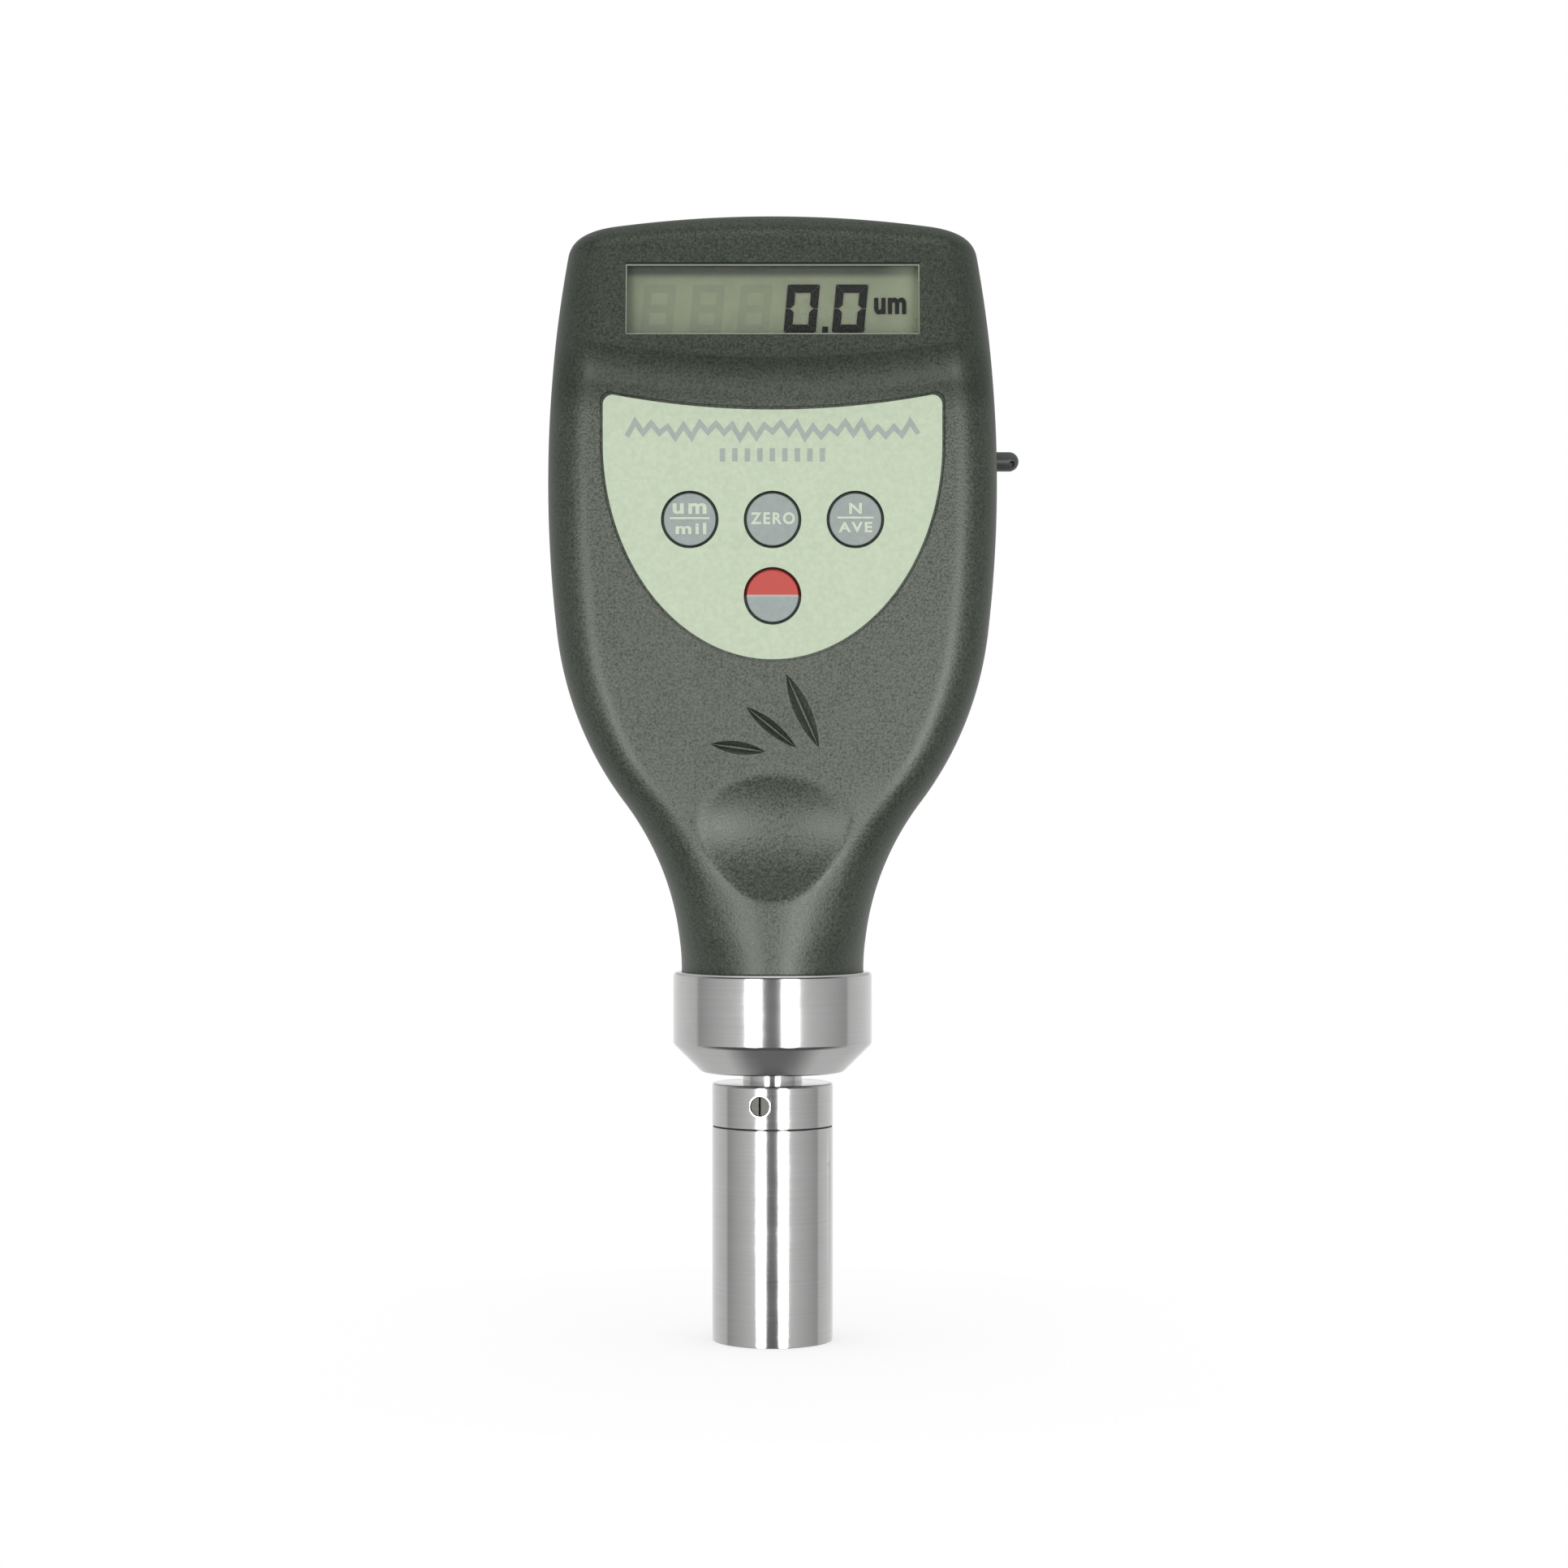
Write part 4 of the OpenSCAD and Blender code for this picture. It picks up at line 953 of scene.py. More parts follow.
class GAUGE_OT_casing(bpy.types.Operator):
    """Build both casing halves, with their openings, dimple and leaf grooves, and the battery cover"""

    bl_idname = "gauge.casing"
    bl_label = "Build Casing"

    def execute(self, context):
        self.front()
        self.back()
        self.cover()
        return {"FINISHED"}

    def shell(self, name, outer, inner, mirrored):
        rows, cols = outer.shape[:2]
        verts = np.concatenate([outer.reshape(-1, 3), inner.reshape(-1, 3)])
        lift = rows * cols
        faces = []
        for r in range(rows - 1):
            for i in range(cols - 1):
                a, b, c, d = r * cols + i, r * cols + i + 1, (r + 1) * cols + i + 1, (r + 1) * cols + i
                faces.append((a, b, c, d))
                faces.append((d + lift, c + lift, b + lift, a + lift))
            a, b = r * cols, (r + 1) * cols
            faces.append((a, b, b + lift, a + lift))
            a, b = a + cols - 1, b + cols - 1
            faces.append((a, a + lift, b + lift, b))
        top = (rows - 1) * cols
        for i in range(cols - 1):
            faces.append((i, i + lift, i + 1 + lift, i + 1))
            faces.append((top + i, top + i + 1, top + i + 1 + lift, top + i + lift))
        if mirrored:
            verts = verts * np.array([1, -1, 1])
            faces = [f[::-1] for f in faces]
        return weld(new_object(name, verts, faces))

    def front(self):
        shell = self.shell("casing_front", dished(skin(front_rows(0)), 0.0),
                           dished(skin(front_rows(WALL)), DIMPLE_WALL), False)
        w, h, z = WINDOW
        tools = [block("window_cut", (-w / 2, -30, z - h / 2), (w / 2, -9, z + h / 2)),
                 plates("recess_cut", [overlay_outline(0.4)], -30, Y_RECESS)]
        tools += [leaf_tool(*leaf) for leaf in LEAVES] + [port_tool()]
        combine(shell, tools, "DIFFERENCE")
        lw, lh = LENS
        tools = [block("lens_cut", (-lw / 2 - 0.1, Y_LENS - 0.02, z - lh / 2 - 0.1),
                       (lw / 2 + 0.1, -8, z + lh / 2 + 0.1))]
        hole = rod(KEY_HOLE_R, 8, 20)
        tools += [turned("key_cut", hole, "Y", (x, 0, kz), 96) for x, kz in KEYS.values()]
        combine(shell, tools, "DIFFERENCE")
        settle(shell, "Casing", "gauge", "front_shell")

    def back(self):
        shell = self.shell("casing_back", skin(back_rows(0)), skin(back_rows(WALL)), True)
        out = BAY["w"] / 2 + BAY["wall"]
        low = BAY["z0"] - 1.5
        adds = [block("bay", (-out, BAY["y"] - 1, low), (out, 12.1, BAY["z1"] + 1.5)),
                block("bay_top", (-out + 0.01, COVER["y"] - 2, low + 1), (out - 0.01, 11.8, BAY["z1"] + 3.6))]
        for x, z in SCREWS:
            reach = 10.3 if z == Z_BOSS else 11.8
            boss = [(0, -reach), (2.55, -reach), (3.0, -8.4), (BOSS_R, -7), (BOSS_R, -3.6),
                    (BOSS_NECK_R, -3.6), (BOSS_NECK_R, 0), (0, 0)]
            adds.append(turned("boss", boss, "Y", (x, 0, z), 64))
            inner = x - math.copysign(BOSS_R, x)
            adds.append(block("boss_root", (min(x, inner), 9.5, z - 3), (max(x, inner), 11.9, z + 3)))
        combine(shell, adds, "UNION")
        cuts = [block("bay_cut", (-BAY["w"] / 2, BAY["y"], BAY["z0"]), (BAY["w"] / 2, 30, BAY["z1"])),
                port_tool()]
        sink = [(0, -20), (SINK_R, -20), (SINK_R, -SINK_Y), (SCREW_HOLE_R, -SINK_Y), (SCREW_HOLE_R, 1),
                (0, 1)]
        cuts += [turned("sink", sink, "Y", (x, 0, z), 64) for x, z in SCREWS]
        combine(shell, cuts, "DIFFERENCE")
        combine(shell, [cover_tool("cover_cut", COVER_GAP)], "DIFFERENCE")
        combine(shell, [tongue_tool("tongue_cut", COVER_GAP)], "DIFFERENCE")
        settle(shell, "Casing", "gauge", "rear_shell")

    def cover(self):
        grid = skin(back_rows(0)) * np.array([1, -1, 1])
        rows, cols = grid.shape[:2]
        verts = grid.reshape(-1, 3)
        faces = []
        for r in range(rows - 1):
            for i in range(cols - 1):
                a = r * cols + i
                faces.append((a + cols, a + cols + 1, a + 1, a))
        faces.append(tuple(range(cols)))
        edge = [r * cols for r in range(rows)] + [(rows - 1) * cols + i for i in range(1, cols)]
        edge += [r * cols + cols - 1 for r in range(rows - 2, -1, -1)]
        faces.append(tuple(reversed(edge)))
        solid = weld(new_object("cover_back", verts, faces))
        path = combine(cover_tool("path", 0), [tongue_tool("path_tongue", 0)], "UNION")
        combine(solid, [path], "INTERSECT")
        bar = rounded_bar()
        places = [(0, BACK_D, COVER["z"] + GRIP_UP + GRIP_STEP * i) for i in range(GRIP_N)]
        row = new_object("cover_grips", places, [])
        grow(row, repeat_tree(), {"Copy": bar, "Material": bpy.data.materials["Cover"]})
        bpy.data.objects.remove(bar)
        combine(solid, [row], "DIFFERENCE")
        settle(solid, "Cover", "battery_cover", "battery_cover")


def port_tool():
    """Cutter for the port's hole through the right side."""
    return turned("port_cut", rod(PORT_HOLE_R, 0, 12), "X", (half_w(Z_PORT) - 6, 0, Z_PORT), 48)


def rounded_bar():
    """Cutter for one grip groove on the cover: a half round bar across it."""
    half = 9.0
    r = 0.5
    verts = []
    faces = []
    ring = [(r * math.sin(a), r * math.cos(a)) for a in np.linspace(0, 2 * math.pi, 17)[:-1]]
    for x in (-half, half):
        verts += [(x, y, z * 0.9) for y, z in ring]
    n = len(ring)
    for i in range(n):
        j = (i + 1) % n
        faces.append((i, j, n + j, n + i))
    faces.append(tuple(range(n)))
    faces.append(tuple(range(2 * n - 1, n - 1, -1)))
    return weld(new_object("grip_bar", verts, faces))


def cover_tool(name, gap):
    half = COVER["w"] / 2 + gap
    floor = COVER["y"] + COVER["t"] - gap - 0.001
    return block(name, (-half, floor, COVER["z"] - gap), (half, 30, Z_TOP + 5))


def tongue_tool(name, gap):
    half = COVER["tongue_w"] / 2 + gap
    return block(name, (-half, COVER["y"] - gap, COVER["z"] - COVER["toe"] - gap),
                 (half, COVER["y"] + COVER["t"] + gap, Z_TOP + 5))


def overlay_outline(gap):
    """Shield outline of the keypad sheet as (x, z): half an ellipse under a hollow top edge."""
    a = OVERLAY_W / 2 + gap
    b = OVERLAY_LOW + gap
    t = OVERLAY_UP + gap
    c = OVERLAY_C
    m = a - c
    pts = [(a * math.cos(q), b * math.sin(q)) for q in np.radians(np.linspace(180, 360, 97))]
    pts += [(m + c * math.cos(q), t - c + c * math.sin(q)) for q in np.radians(np.linspace(0, 90, 9))]
    for k in np.linspace(1, -1, 65)[1:-1]:
        pts.append((m * k, t - OVERLAY_DIP * (1 - k * k)))
    pts += [(-m + c * math.cos(q), t - c + c * math.sin(q)) for q in np.radians(np.linspace(90, 180, 9))]
    return [(x, z + Z_OVERLAY) for x, z in pts]


def circle_outline(x, z, r, n=96):
    return [(x + r * math.cos(q), z + r * math.sin(q)) for q in np.arange(n) * 2 * math.pi / n]


def leaf_tool(x, z, long, wide, turn):
    """Cutter for one leaf: two hollows either side of a fine midrib."""
    ns, nt = 40, 34
    rib, least, deepest = 0.12, 0.12, 0.3
    h = long / 2
    r = (h * h + wide * wide / 4) / wide
    c, s = math.cos(math.radians(turn)), math.sin(math.radians(turn))
    verts = []
    for i in range(ns + 1):
        along = h * math.cos(math.pi * i / ns) * -0.998
        half = math.sqrt(r * r - along * along) - (r - wide / 2)
        for j in range(nt + 1):
            t = 2 * j / nt - 1
            deep = LEAF_D * (half / (wide / 2)) ** 0.6
            away = max(abs(t) - rib, 0) / (1 - rib)
            share = least + (1 - least) * min(away / deepest, (1 - away) / (1 - deepest))
            y = -FRONT_D + (deep * share if abs(t) < 1 else 0)
            across = half * t
            verts.append((x + along * c + across * s, y, z - along * s + across * c))
    base = len(verts)
    verts += [(vx, -FRONT_D - 1, vz) for vx, _, vz in verts]
    faces = []
    m = nt + 1
    for i in range(ns):
        for j in range(nt):
            a, b, d, e = i * m + j, i * m + j + 1, (i + 1) * m + j + 1, (i + 1) * m + j
            faces.append((a, b, d, e))
            faces.append((base + e, base + d, base + b, base + a))
        a, e = i * m, (i + 1) * m
        faces.append((a, e, base + e, base + a))
        faces.append((a + nt, base + a + nt, base + e + nt, e + nt))
    for j in range(nt):
        faces.append((j, base + j, base + j + 1, j + 1))
        a = ns * m + j
        faces.append((a, a + 1, base + a + 1, base + a))
    return weld(new_object("leaf_cut", verts, faces))


def digit_parts(w, h, t):
    """The seven segments of a display digit as outlines."""
    g = 0.05
    mid = h / 2
    top = [(g, h), (w - g, h), (w - t - g, h - t), (t + g, h - t)]
    upper = [(0, h - g), (t, h - t - g), (t, mid + t * 0.4 + g), (t * 0.55, mid + g), (0, mid + g)]
    bar = [(t * 0.6, mid), (t + g, mid + t / 2), (w - t - g, mid + t / 2), (w - t * 0.6, mid),
           (w - t - g, mid - t / 2), (t + g, mid - t / 2)]
    down = [(x, h - z) for x, z in top]
    lower = [(x, h - z) for x, z in upper]
    right = [[(w - x, z) for x, z in part] for part in (upper, lower)]
    return [top, upper, lower, down] + right, bar


class GAUGE_OT_display(bpy.types.Operator):
    """Build the display's digits and unit, the painted highlight round the window and the painted shadow
    strip along its top
    """

    bl_idname = "gauge.display"
    bl_label = "Build Display"

    def execute(self, context):
        sizes = context.scene.gauge_sizes
        ring, bar = digit_parts(sizes.digit_w / MM, sizes.digit_h / MM, sizes.segment_t / MM)
        y = Y_LCD - 0.2
        lit = [part for x in LIT_X for part in self.placed(ring, x)]
        lit += self.placed([rectangle(0, 0, 0.8, 0.85)], DOT_X)
        faint = [part for x in FAINT_X for part in self.placed(ring + [bar], x)]
        unit = lettering("unit", "um", 16.55, 147.05, 4.5, 2.35, y + 0.015, 0.038, 1.1)
        ink = join("display_digits", [plates("digits", lit, y, y + 0.03), unit])
        settle(ink, "Digits", "gauge")
        settle(plates("display_ghosts", faint, y + 0.19, y + 0.21), "Ghost", "gauge")
        self.edge_highlight(sizes.edge_highlight_w / MM)
        return {"FINISHED"}

    def placed(self, parts, x):
        """Segments moved along the display and leaned."""
        return [[(x + px + pz * DIGIT_LEAN, Z_DIGITS + pz) for px, pz in part] for part in parts]

    def edge_highlight(self, line):
        """Pale line that follows the leaning bezel just inside the opening, a painted highlight for the light
        the window's edge catches, under a dark strip that is a painted shadow in the gap along the top.
        """
        w, h, z = WINDOW
        x, top, low = w / 2 - 0.02, z + h / 2 - 0.02, z - h / 2 + 0.02
        up = top - SHADOW_STRIP_H
        front = -FRONT_D - rise(z - Z_CREASE) + 0.08
        outlines = [rectangle(-x, low, x, up), rectangle(-x + line, low + line, x - line, up - line)]
        highlight_strip = sheet("window_trim", outlines, 0.3, 0.03, front)
        # Dark strip in the gap along the window's top: a painted shadow.
        shadow_strip = plates("window_seam", [rectangle(-x, up, x, top)], front + 0.1, front + 0.3)
        lean = Matrix.Identity(4)
        lean[1][2] = math.tan(BEZEL_TILT)
        lean[1][3] = -math.tan(BEZEL_TILT) * z * MM
        # The pale ring is a painted highlight and the dark strip a painted shadow.
        for piece, material in ((highlight_strip, "Trim"), (shadow_strip, "Seam")):
            piece.data.transform(lean)
            settle(piece, material, "gauge")


class GAUGE_OT_keypad(bpy.types.Operator):
    """Build the keypad sheet, its print, the keys and their legends"""

    bl_idname = "gauge.keypad"
    bl_label = "Build Keypad"

    def execute(self, context):
        high = context.scene.gauge_sizes.legend_h / MM
        outlines = [overlay_outline(0)] + [circle_outline(x, z, KEY_HOLE_R) for x, z in KEYS.values()]
        pad = sheet("keypad_sheet", outlines, OVERLAY_T, 0.07, Y_RECESS - OVERLAY_T)
        settle(pad, "Overlay", "gauge", "keypad_overlay")
        settle(self.print_lines(), "Overlay print", "gauge")
        for key, (x, z) in KEYS.items():
            self.cap(key, x, z)
        for key, words in WORDS.items():
            x, z = KEYS[key]
            parts = [lettering(word, word, x + dx, z + dz, wide, high * share, -KEY_FACE)
                     for word, dx, dz, wide, share in words]
            if key in RULES:
                dx, dz, long = RULES[key]
                parts.append(rule(x + dx, z + dz, long, RULE_T, -KEY_FACE))
            settle(join("legend_" + key, parts), "Legend", key + "_key")
        return {"FINISHED"}

    def cap(self, key, x, z):
        back = -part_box("key_" + key)[1].y / MM
        low, high = KEY_FLANGE
        profile = [(0, back), (KEY_STALK_R, back), (KEY_STALK_R, low), (KEY_FLANGE_R, low),
                   (KEY_FLANGE_R, high), (KEY_R, high)]
        profile += arc_points(KEY_R - KEY_EDGE_R, KEY_FACE - KEY_EDGE_R, KEY_EDGE_R, 0, 90)
        profile += [(2.6, KEY_FACE - 0.015), (1.3, KEY_FACE - 0.025), (0, KEY_FACE - 0.03)]
        cap = turned("cap_" + key, profile, "Y", (x, 0, z), 96)
        material, slot = ("Power key", "key_red") if key == "power" else ("Key", "key_grey")
        settle(cap, material, key + "_key", "key_" + key)

    def print_lines(self):
        """A surface trace over a row of ticks."""
        peaks = 37
        steps = np.linspace(-20.4, 20.4, peaks)
        swing = 0.75 + 0.35 * np.sin(np.arange(peaks) * 2.4) + 0.2 * np.sin(np.arange(peaks) * 0.9 + 1)
        line = np.stack([steps, 129.35 + swing * np.where(np.arange(peaks) % 2, 1, -1)], axis=1)
        ticks = [rectangle(x, 124.9, x + 0.75, 126.75) for x in np.linspace(-7.4, 6.6, 9)]
        y = Y_RECESS - OVERLAY_T
        return plates("sheet_print", [band(line, 0.72)] + ticks, y - 0.012, y + 0.05)


def band(line, wide):
    """Outline of a bent stroke of even width along a line of points."""
    run = np.diff(line, axis=0)
    run = run / np.linalg.norm(run, axis=1)[:, None]
    side = np.stack([-run[:, 1], run[:, 0]], axis=1)
    first = np.vstack([side[:1], side])
    last = np.vstack([side, side[-1:]])
    mitre = first + last
    mitre = mitre / np.maximum((mitre * first).sum(axis=1), 0.35)[:, None]
    return [*map(tuple, line + mitre * wide / 2), *map(tuple, (line - mitre * wide / 2)[::-1])]


def rule(x, z, long, thick, y):
    """A printed line across a key."""
    h, t = long / 2, thick / 2
    return plates("rule", [rectangle(x - h, z - t, x + h, z + t)], y - 0.015, y + 0.015)


def swung(z, turn):
    """Place at height z on the probe, turned about its axis."""
    return Matrix.Translation((0, 0, z * MM)) @ Matrix.Rotation(turn, 4, "Z")


class GAUGE_OT_probe(bpy.types.Operator):
    """Build the turned collar, lock ring, screw and sleeve of the probe"""

    bl_idname = "gauge.probe"
    bl_label = "Build Probe"

    def execute(self, context):
        self.collar()
        self.ring()
        self.screw()
        self.sleeve()
        self.small_parts()
        return {"FINISHED"}

    def collar(self):
        bore = STEM_R + STEM_GAP
        inner = NECK_R + 0.1
        floor = 46.0
        profile = [(bore, Z_COLLAR)] + arc_points(COLLAR_R - 4.5, Z_COLLAR + 1, 1, -90, -43)
        profile += arc_points(COLLAR_R - 0.8, 43.0, 0.8, -43, 0)
        profile += arc_points(COLLAR_R - 0.6, Z_RIM - 0.6, 0.6, 0, 90)
        profile += [(inner, Z_RIM), (inner, floor), (bore, floor)]
        settle(turned("turned_collar", profile, steps=256), "Steel", "gauge", "collar")

    def ring(self):
        low, seat, shelf = 27.1, 30.1, 31.6
        bore = STEM_R + STEM_GAP
        profile = [(2.6, low), (RING_BORE_R, low), (RING_BORE_R, Z_SPLIT), (FOOT_R - 0.06, Z_SPLIT),
                   (FOOT_R, Z_SPLIT + 0.06)]
        profile += arc_points(FOOT_R - 0.35, Z_RING - 0.35, 0.35, 0, 90)
        profile += [(bore, Z_RING), (bore, shelf), (1.5, shelf), (1.5, seat), (2.6, seat)]
        ring = turned("turned_ring", profile, steps=256)
        edge = FOOT_R - 0.13
        hole = [(0, 0), (LOCK_R + 0.01, 0), (LOCK_R + 0.01, edge), (LOCK_R + 0.13, edge), (LOCK_R + 0.15, 11),
                (0, 11)]
        cut = turned("lock_hole", hole, "Y", steps=96)
        cut.data.transform(swung(Z_LOCK, -LOCK_TURN))
        combine(ring, [cut], "DIFFERENCE")
        settle(ring, "Steel", "gauge", "lock_ring")

    def screw(self):
        face = FOOT_R - 0.45
        root = STEM_R + 0.05
        body = [(0, root), (LOCK_R, root), (LOCK_R, face - 0.1), (LOCK_R - 0.1, face), (0, face)]
        screw = turned("slotted_screw", body, "Y", steps=64)
        combine(screw, [block("slot", (-0.22, -12, -3), (0.22, -face + 0.8, 3))], "DIFFERENCE")
        screw.data.transform(swung(Z_LOCK, -LOCK_TURN))
        settle(screw, "Dark steel", "gauge", "lock_screw")

    def sleeve(self):
        neck = FOOT_R - 0.9
        profile = [(SLEEVE_BORE_R, 0), (FOOT_R - 0.08, 0), (FOOT_R, 0.08), (FOOT_R, Z_SPLIT - 0.25),
                   (FOOT_R - 0.05, Z_SPLIT - 0.2), (neck, Z_SPLIT - 0.2), (neck, Z_SPLIT),
                   (SLEEVE_BORE_R, Z_SPLIT)]
        sleeve = turned("turned_sleeve", profile, steps=256)
        hollow = [(0, FOOT_R - 0.14), (0.4, FOOT_R - 0.1), (0.8, FOOT_R + 0.03), (0.8, 12), (0, 12)]
        mark = turned("mark", hollow, "Y", steps=48)
        mark.data.transform(swung(Z_MARK, MARK_TURN))
        combine(sleeve, [mark], "DIFFERENCE")
        settle(sleeve, "Steel", "gauge", "probe_sleeve")
        # Dark ring down in the split between sleeve and lock ring: a painted shadow in the slit.
        shadow_ring = rectangle(FOOT_R - 0.6, Z_SPLIT - 0.19, FOOT_R - 0.12, Z_SPLIT - 0.01)
        settle(turned("split_seal", shadow_ring, steps=256), "Seam", "gauge")

    def small_parts(self):
        settle(twin("needle", "fine_needle"), "Needle steel", "needle", "needle")
        lo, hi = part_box("return_spring")
        spring = new_object("wire_spring", [], [])
        wire = 0.00022
        values = {"Turns": 6.0, "Radius": (hi.x - lo.x) / 2 - wire, "Height": hi.z - lo.z - 2 * wire,
                  "Wire": wire, "Foot": (0.0, 0.0, lo.z + wire),
                  "Material": bpy.data.materials["Spring steel"]}
        grow(spring, coil_tree(), values)
        settle(spring, "Spring steel", "gauge", "return_spring", 40)


class GAUGE_OT_back_parts(bpy.types.Operator):
    """Build the plug, case screws, cells and spring contacts"""

    bl_idname = "gauge.back_parts"
    bl_label = "Build Plug and Back Parts"

    def execute(self, context):
        self.plug()
        self.screws()
        for i in range(1, 5):
            cell = "cell_%d" % i
            settle(twin(cell, "sleeved_" + cell), "Cell", "gauge", cell, 40)
        contacts = twin("spring_contacts", "wound_contacts")
        settle(contacts, "Brass", "gauge", "spring_contacts", 40)
        return {"FINISHED"}

    def plug(self):
        lo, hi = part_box("port_plug")
        r = (hi.y - lo.y) / 2 / MM
        end = hi.x / MM - r + 0.5
        profile = [(0, lo.x / MM), (r, lo.x / MM)] + [(b, a) for a, b in arc_points(end, 0, r, 90, 0, 20)]
        plug = turned("rubber_plug", profile, "X", (0, 0, Z_PORT), 64)
        eye = turned("eye", rod(0.45, 0.2, 5), "Y", (end + 0.3, 0, Z_PORT - 0.5), 48)
        combine(plug, [eye], "DIFFERENCE")
        settle(plug, "Rubber", "port_plug", "port_plug")

    def screws(self):
        profile = [(0, 5.2), (1.15, 5.2), (1.15, -4.42), (2.2, -4.42)] + arc_points(1.85, -5.65, 0.35, 0, -90)
        profile += [(0, -6.0)]
        one = turned("screw", profile, "Y", steps=48)
        slots = [block("cross", (-a, 5.1, -b), (a, 7, b)) for a, b in ((1.3, 0.3), (0.3, 1.3))]
        combine(one, slots, "DIFFERENCE")
        points = new_object("cross_screws", [(x, 0, z) for x, z in SCREWS], [])
        grow(points, repeat_tree(), {"Copy": one, "Material": bpy.data.materials["Screw steel"]})
        bpy.data.objects.remove(one)
        settle(points, "Screw steel", "gauge", "case_screws")


class GAUGE_OT_stage(bpy.types.Operator):
    """Set up the camera, lamps, cards, floor and white surround"""

    bl_idname = "gauge.stage"
    bl_label = "Set Up Stage"

    def execute(self, context):
        scene = context.scene
        stage = scene.gauge_stage
        scene.view_settings.view_transform = "Standard"
        self.camera(scene, stage.lens)
        self.world(scene, stage.fill)
        self.lamps(scene, stage.strip_power)
        self.cards()
        self.canopies()
        self.floor()
        return {"FINISHED"}

    def camera(self, scene, lens):
        data = bpy.data.cameras.new("Camera")
        data.lens = lens
        data.shift_x, data.shift_y = SHIFT
        data.clip_start = 0.01
        cam = bpy.data.objects.new("Camera", data)
        cam.location = CAMERA
        cam.rotation_euler = (math.pi / 2, 0, 0)
        scene.collection.objects.link(cam)
        scene.camera = cam

    def world(self, scene, fill):
        world = bpy.data.worlds.new("White surround")
        world.use_nodes = True
        tree = world.node_tree
        ray = tree.nodes.new("ShaderNodeLightPath")
        first = tree.nodes.new("ShaderNodeMath")
        first.operation = "MAXIMUM"
        second = tree.nodes.new("ShaderNodeMath")
        second.operation = "MAXIMUM"
        pick = tree.nodes.new("ShaderNodeMix")
        pick.inputs["A"].default_value = fill
        pick.inputs["B"].default_value = 1.0
        sky = tree.nodes["Background"]
        sky.inputs["Color"].default_value = (1, 1, 1, 1)
        link = tree.links.new
        link(ray.outputs["Is Camera Ray"], first.inputs[0])
        link(ray.outputs["Is Glossy Ray"], first.inputs[1])
        link(first.outputs[0], second.inputs[0])
        link(ray.outputs["Is Transmission Ray"], second.inputs[1])
        link(second.outputs[0], pick.inputs["Factor"])
        link(pick.outputs["Result"], sky.inputs["Strength"])
        scene.world = world

    def lamps(self, scene, power):
        for side, turn, share in (("left", -21.8, 1.0), ("right", 20.0, 1.3)):
            lamp = bpy.data.lights.new("Strip " + side, "AREA")
            lamp.shape = "RECTANGLE"
            lamp.size, lamp.size_y = STRIP
            lamp.energy = power * share
            obj = bpy.data.objects.new("Strip " + side, lamp)
            a = math.radians(turn)
            obj.location = (STRIP_AWAY * math.sin(a), -STRIP_AWAY * math.cos(a), STRIP_Z)
            obj.rotation_euler = (math.pi / 2, 0, a)
            obj.visible_camera = False
            obj.visible_diffuse = False
            scene.collection.objects.link(obj)

    def cards(self):
        """Grey cards round the front, as (from, to, glow at each end) in degrees from straight ahead."""
        for name, a0, a1, g0, g1 in (("front", -11.5, 11.5, 0.16, 0.16), ("left", -31, -96, 0.78, 0.36),
                                     ("right", 31, 96, 0.74, 0.38), ("back left", -96, -178, 0.62, 1.0),
                                     ("back right", 96, 178, 0.62, 1.0)):
            n = 24
            verts = []
            tones = []
            for k in np.linspace(0, 1, n + 1):
                a = math.radians(blend(a0, a1, k))
                verts += [(CARD_R * math.sin(a), -CARD_R * math.cos(a), z) for z in CARD_Z]
                tones += [blend(g0, g1, k)] * 2
            faces = [(2 * i, 2 * i + 2, 2 * i + 3, 2 * i + 1) for i in range(n)]
            self.card(name, verts, faces, tones)

    def canopies(self):
        """Grey cones over and under the stage, as rings of (radius, height, glow in front, glow behind)."""
        above = [(1150, 240, 0.03, 0.6), (1000, 620, 0.1, 0.6), (800, 830, 0.7, 0.6), (600, 950, 1.2, 0.7),
                 (1, 1100, 0.9, 0.9)]
        below = [(1150, -250, 0.12, 0.8), (750, -520, 0.1, 0.66), (400, -650, 0.12, 0.66),
                 (200, -660, 0.14, 0.3), (90, -660, 0.2, 0.2), (1, -660, 0.2, 0.2)]
        for name, rings in (("over", above), ("under", below)):
            n = 48
            verts = []
            tones = []
            for r, z, ahead, behind in rings:
                for a in np.arange(n) * 2 * math.pi / n:
                    verts.append((r * math.sin(a), -r * math.cos(a), z))
                    tones.append(blend(ahead, behind, smooth(0.5 - math.cos(a))))
            faces = [(r * n + i, r * n + (i + 1) % n, (r + 1) * n + (i + 1) % n, (r + 1) * n + i)
                     for r in range(len(rings) - 1) for i in range(n)]
            self.card(name, verts, faces, tones)

    def card(self, name, verts, faces, tones):
        card = new_object("Card " + name, verts, faces)
        glow = card.data.color_attributes.new("glow", "FLOAT_COLOR", "POINT")
        for i, g in enumerate(tones):
            glow.data[i].color = (g, g, g, 1)
        mat = start_material("Card " + name)
        tree = mat.node_tree
        light = tree.nodes.new("ShaderNodeEmission")
        tone = tree.nodes.new("ShaderNodeVertexColor")
        tone.layer_name = "glow"
        tree.links.new(tone.outputs["Color"], light.inputs["Color"])
        tree.links.new(light.outputs["Emission"], tree.nodes["Material Output"].inputs["Surface"])
        card.data.materials.append(mat)
        card.visible_camera = False
        card.visible_diffuse = False
        card.visible_shadow = False

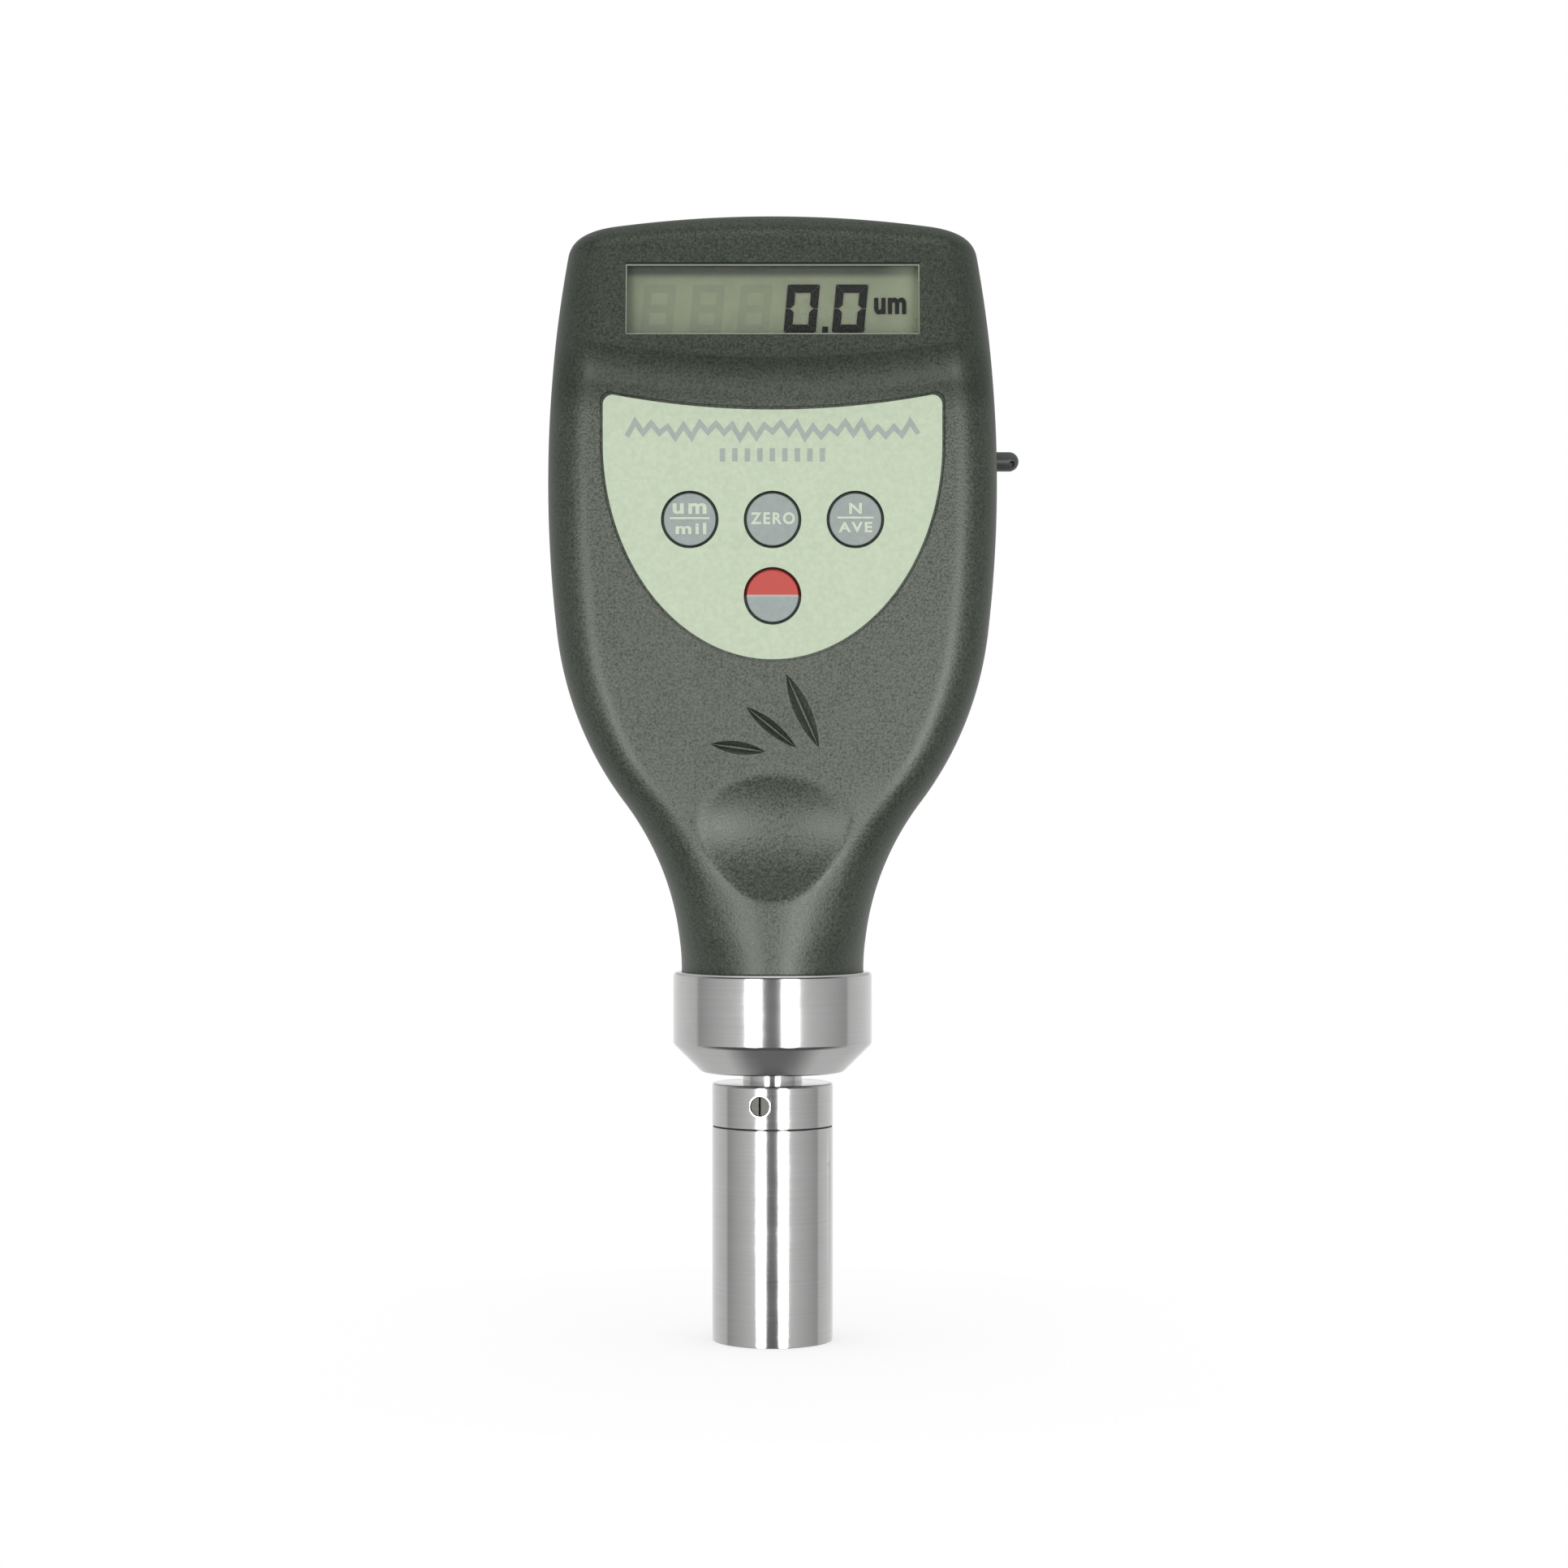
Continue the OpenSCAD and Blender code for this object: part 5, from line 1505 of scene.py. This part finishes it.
    def floor(self):
        n = 96
        verts = [(0, 0, FLOOR_Z)] + [(x, y, FLOOR_Z) for x, y in circle_outline(0, 0, FLOOR_R, n)]
        faces = [(0, 1 + i, 1 + (i + 1) % n) for i in range(n)]
        disc = new_object("Floor", verts, faces)
        mat = start_material("Floor")
        shader = mat.node_tree.nodes["Principled BSDF"]
        shader.inputs["Base Color"].default_value = (0.45, 0.45, 0.45, 1)
        shader.inputs["Roughness"].default_value = 1.0
        shader.inputs["Specular IOR Level"].default_value = 0.0
        shader.inputs["Emission Color"].default_value = (1, 1, 1, 1)
        shader.inputs["Emission Strength"].default_value = 0.57
        disc.data.materials.append(mat)
        disc.visible_glossy = False


class GAUGE_PT_panel(bpy.types.Panel):
    """Colours, sizes and build steps of the gauge"""

    bl_label = "Roughness Tester"
    bl_idname = "GAUGE_PT_panel"
    bl_space_type = "VIEW_3D"
    bl_region_type = "UI"
    bl_category = "Gauge"

    def draw(self, context):
        for name in ("gauge_colours", "gauge_sizes", "gauge_stage"):
            group = getattr(context.scene, name)
            box = self.layout.box()
            for prop in group.__annotations__:
                box.prop(group, prop)
        for step in STEPS:
            self.layout.operator(step.bl_idname)


STEPS = (GAUGE_OT_materials, GAUGE_OT_casing, GAUGE_OT_display, GAUGE_OT_keypad, GAUGE_OT_probe,
         GAUGE_OT_back_parts, GAUGE_OT_stage)
CLASSES = (GaugeColours, GaugeSizes, GaugeStage) + STEPS + (GAUGE_PT_panel,)


def register():
    for cls in CLASSES:
        bpy.utils.register_class(cls)
    bpy.types.Scene.gauge_colours = bpy.props.PointerProperty(type=GaugeColours)
    bpy.types.Scene.gauge_sizes = bpy.props.PointerProperty(type=GaugeSizes)
    bpy.types.Scene.gauge_stage = bpy.props.PointerProperty(type=GaugeStage)


def unregister():
    del bpy.types.Scene.gauge_stage
    del bpy.types.Scene.gauge_sizes
    del bpy.types.Scene.gauge_colours
    for cls in reversed(CLASSES):
        bpy.utils.unregister_class(cls)


def main():
    register()
    for step in (bpy.ops.gauge.materials, bpy.ops.gauge.casing, bpy.ops.gauge.display, bpy.ops.gauge.keypad,
                 bpy.ops.gauge.probe, bpy.ops.gauge.back_parts, bpy.ops.gauge.stage):
        step()


if __name__ == "__main__":
    main()
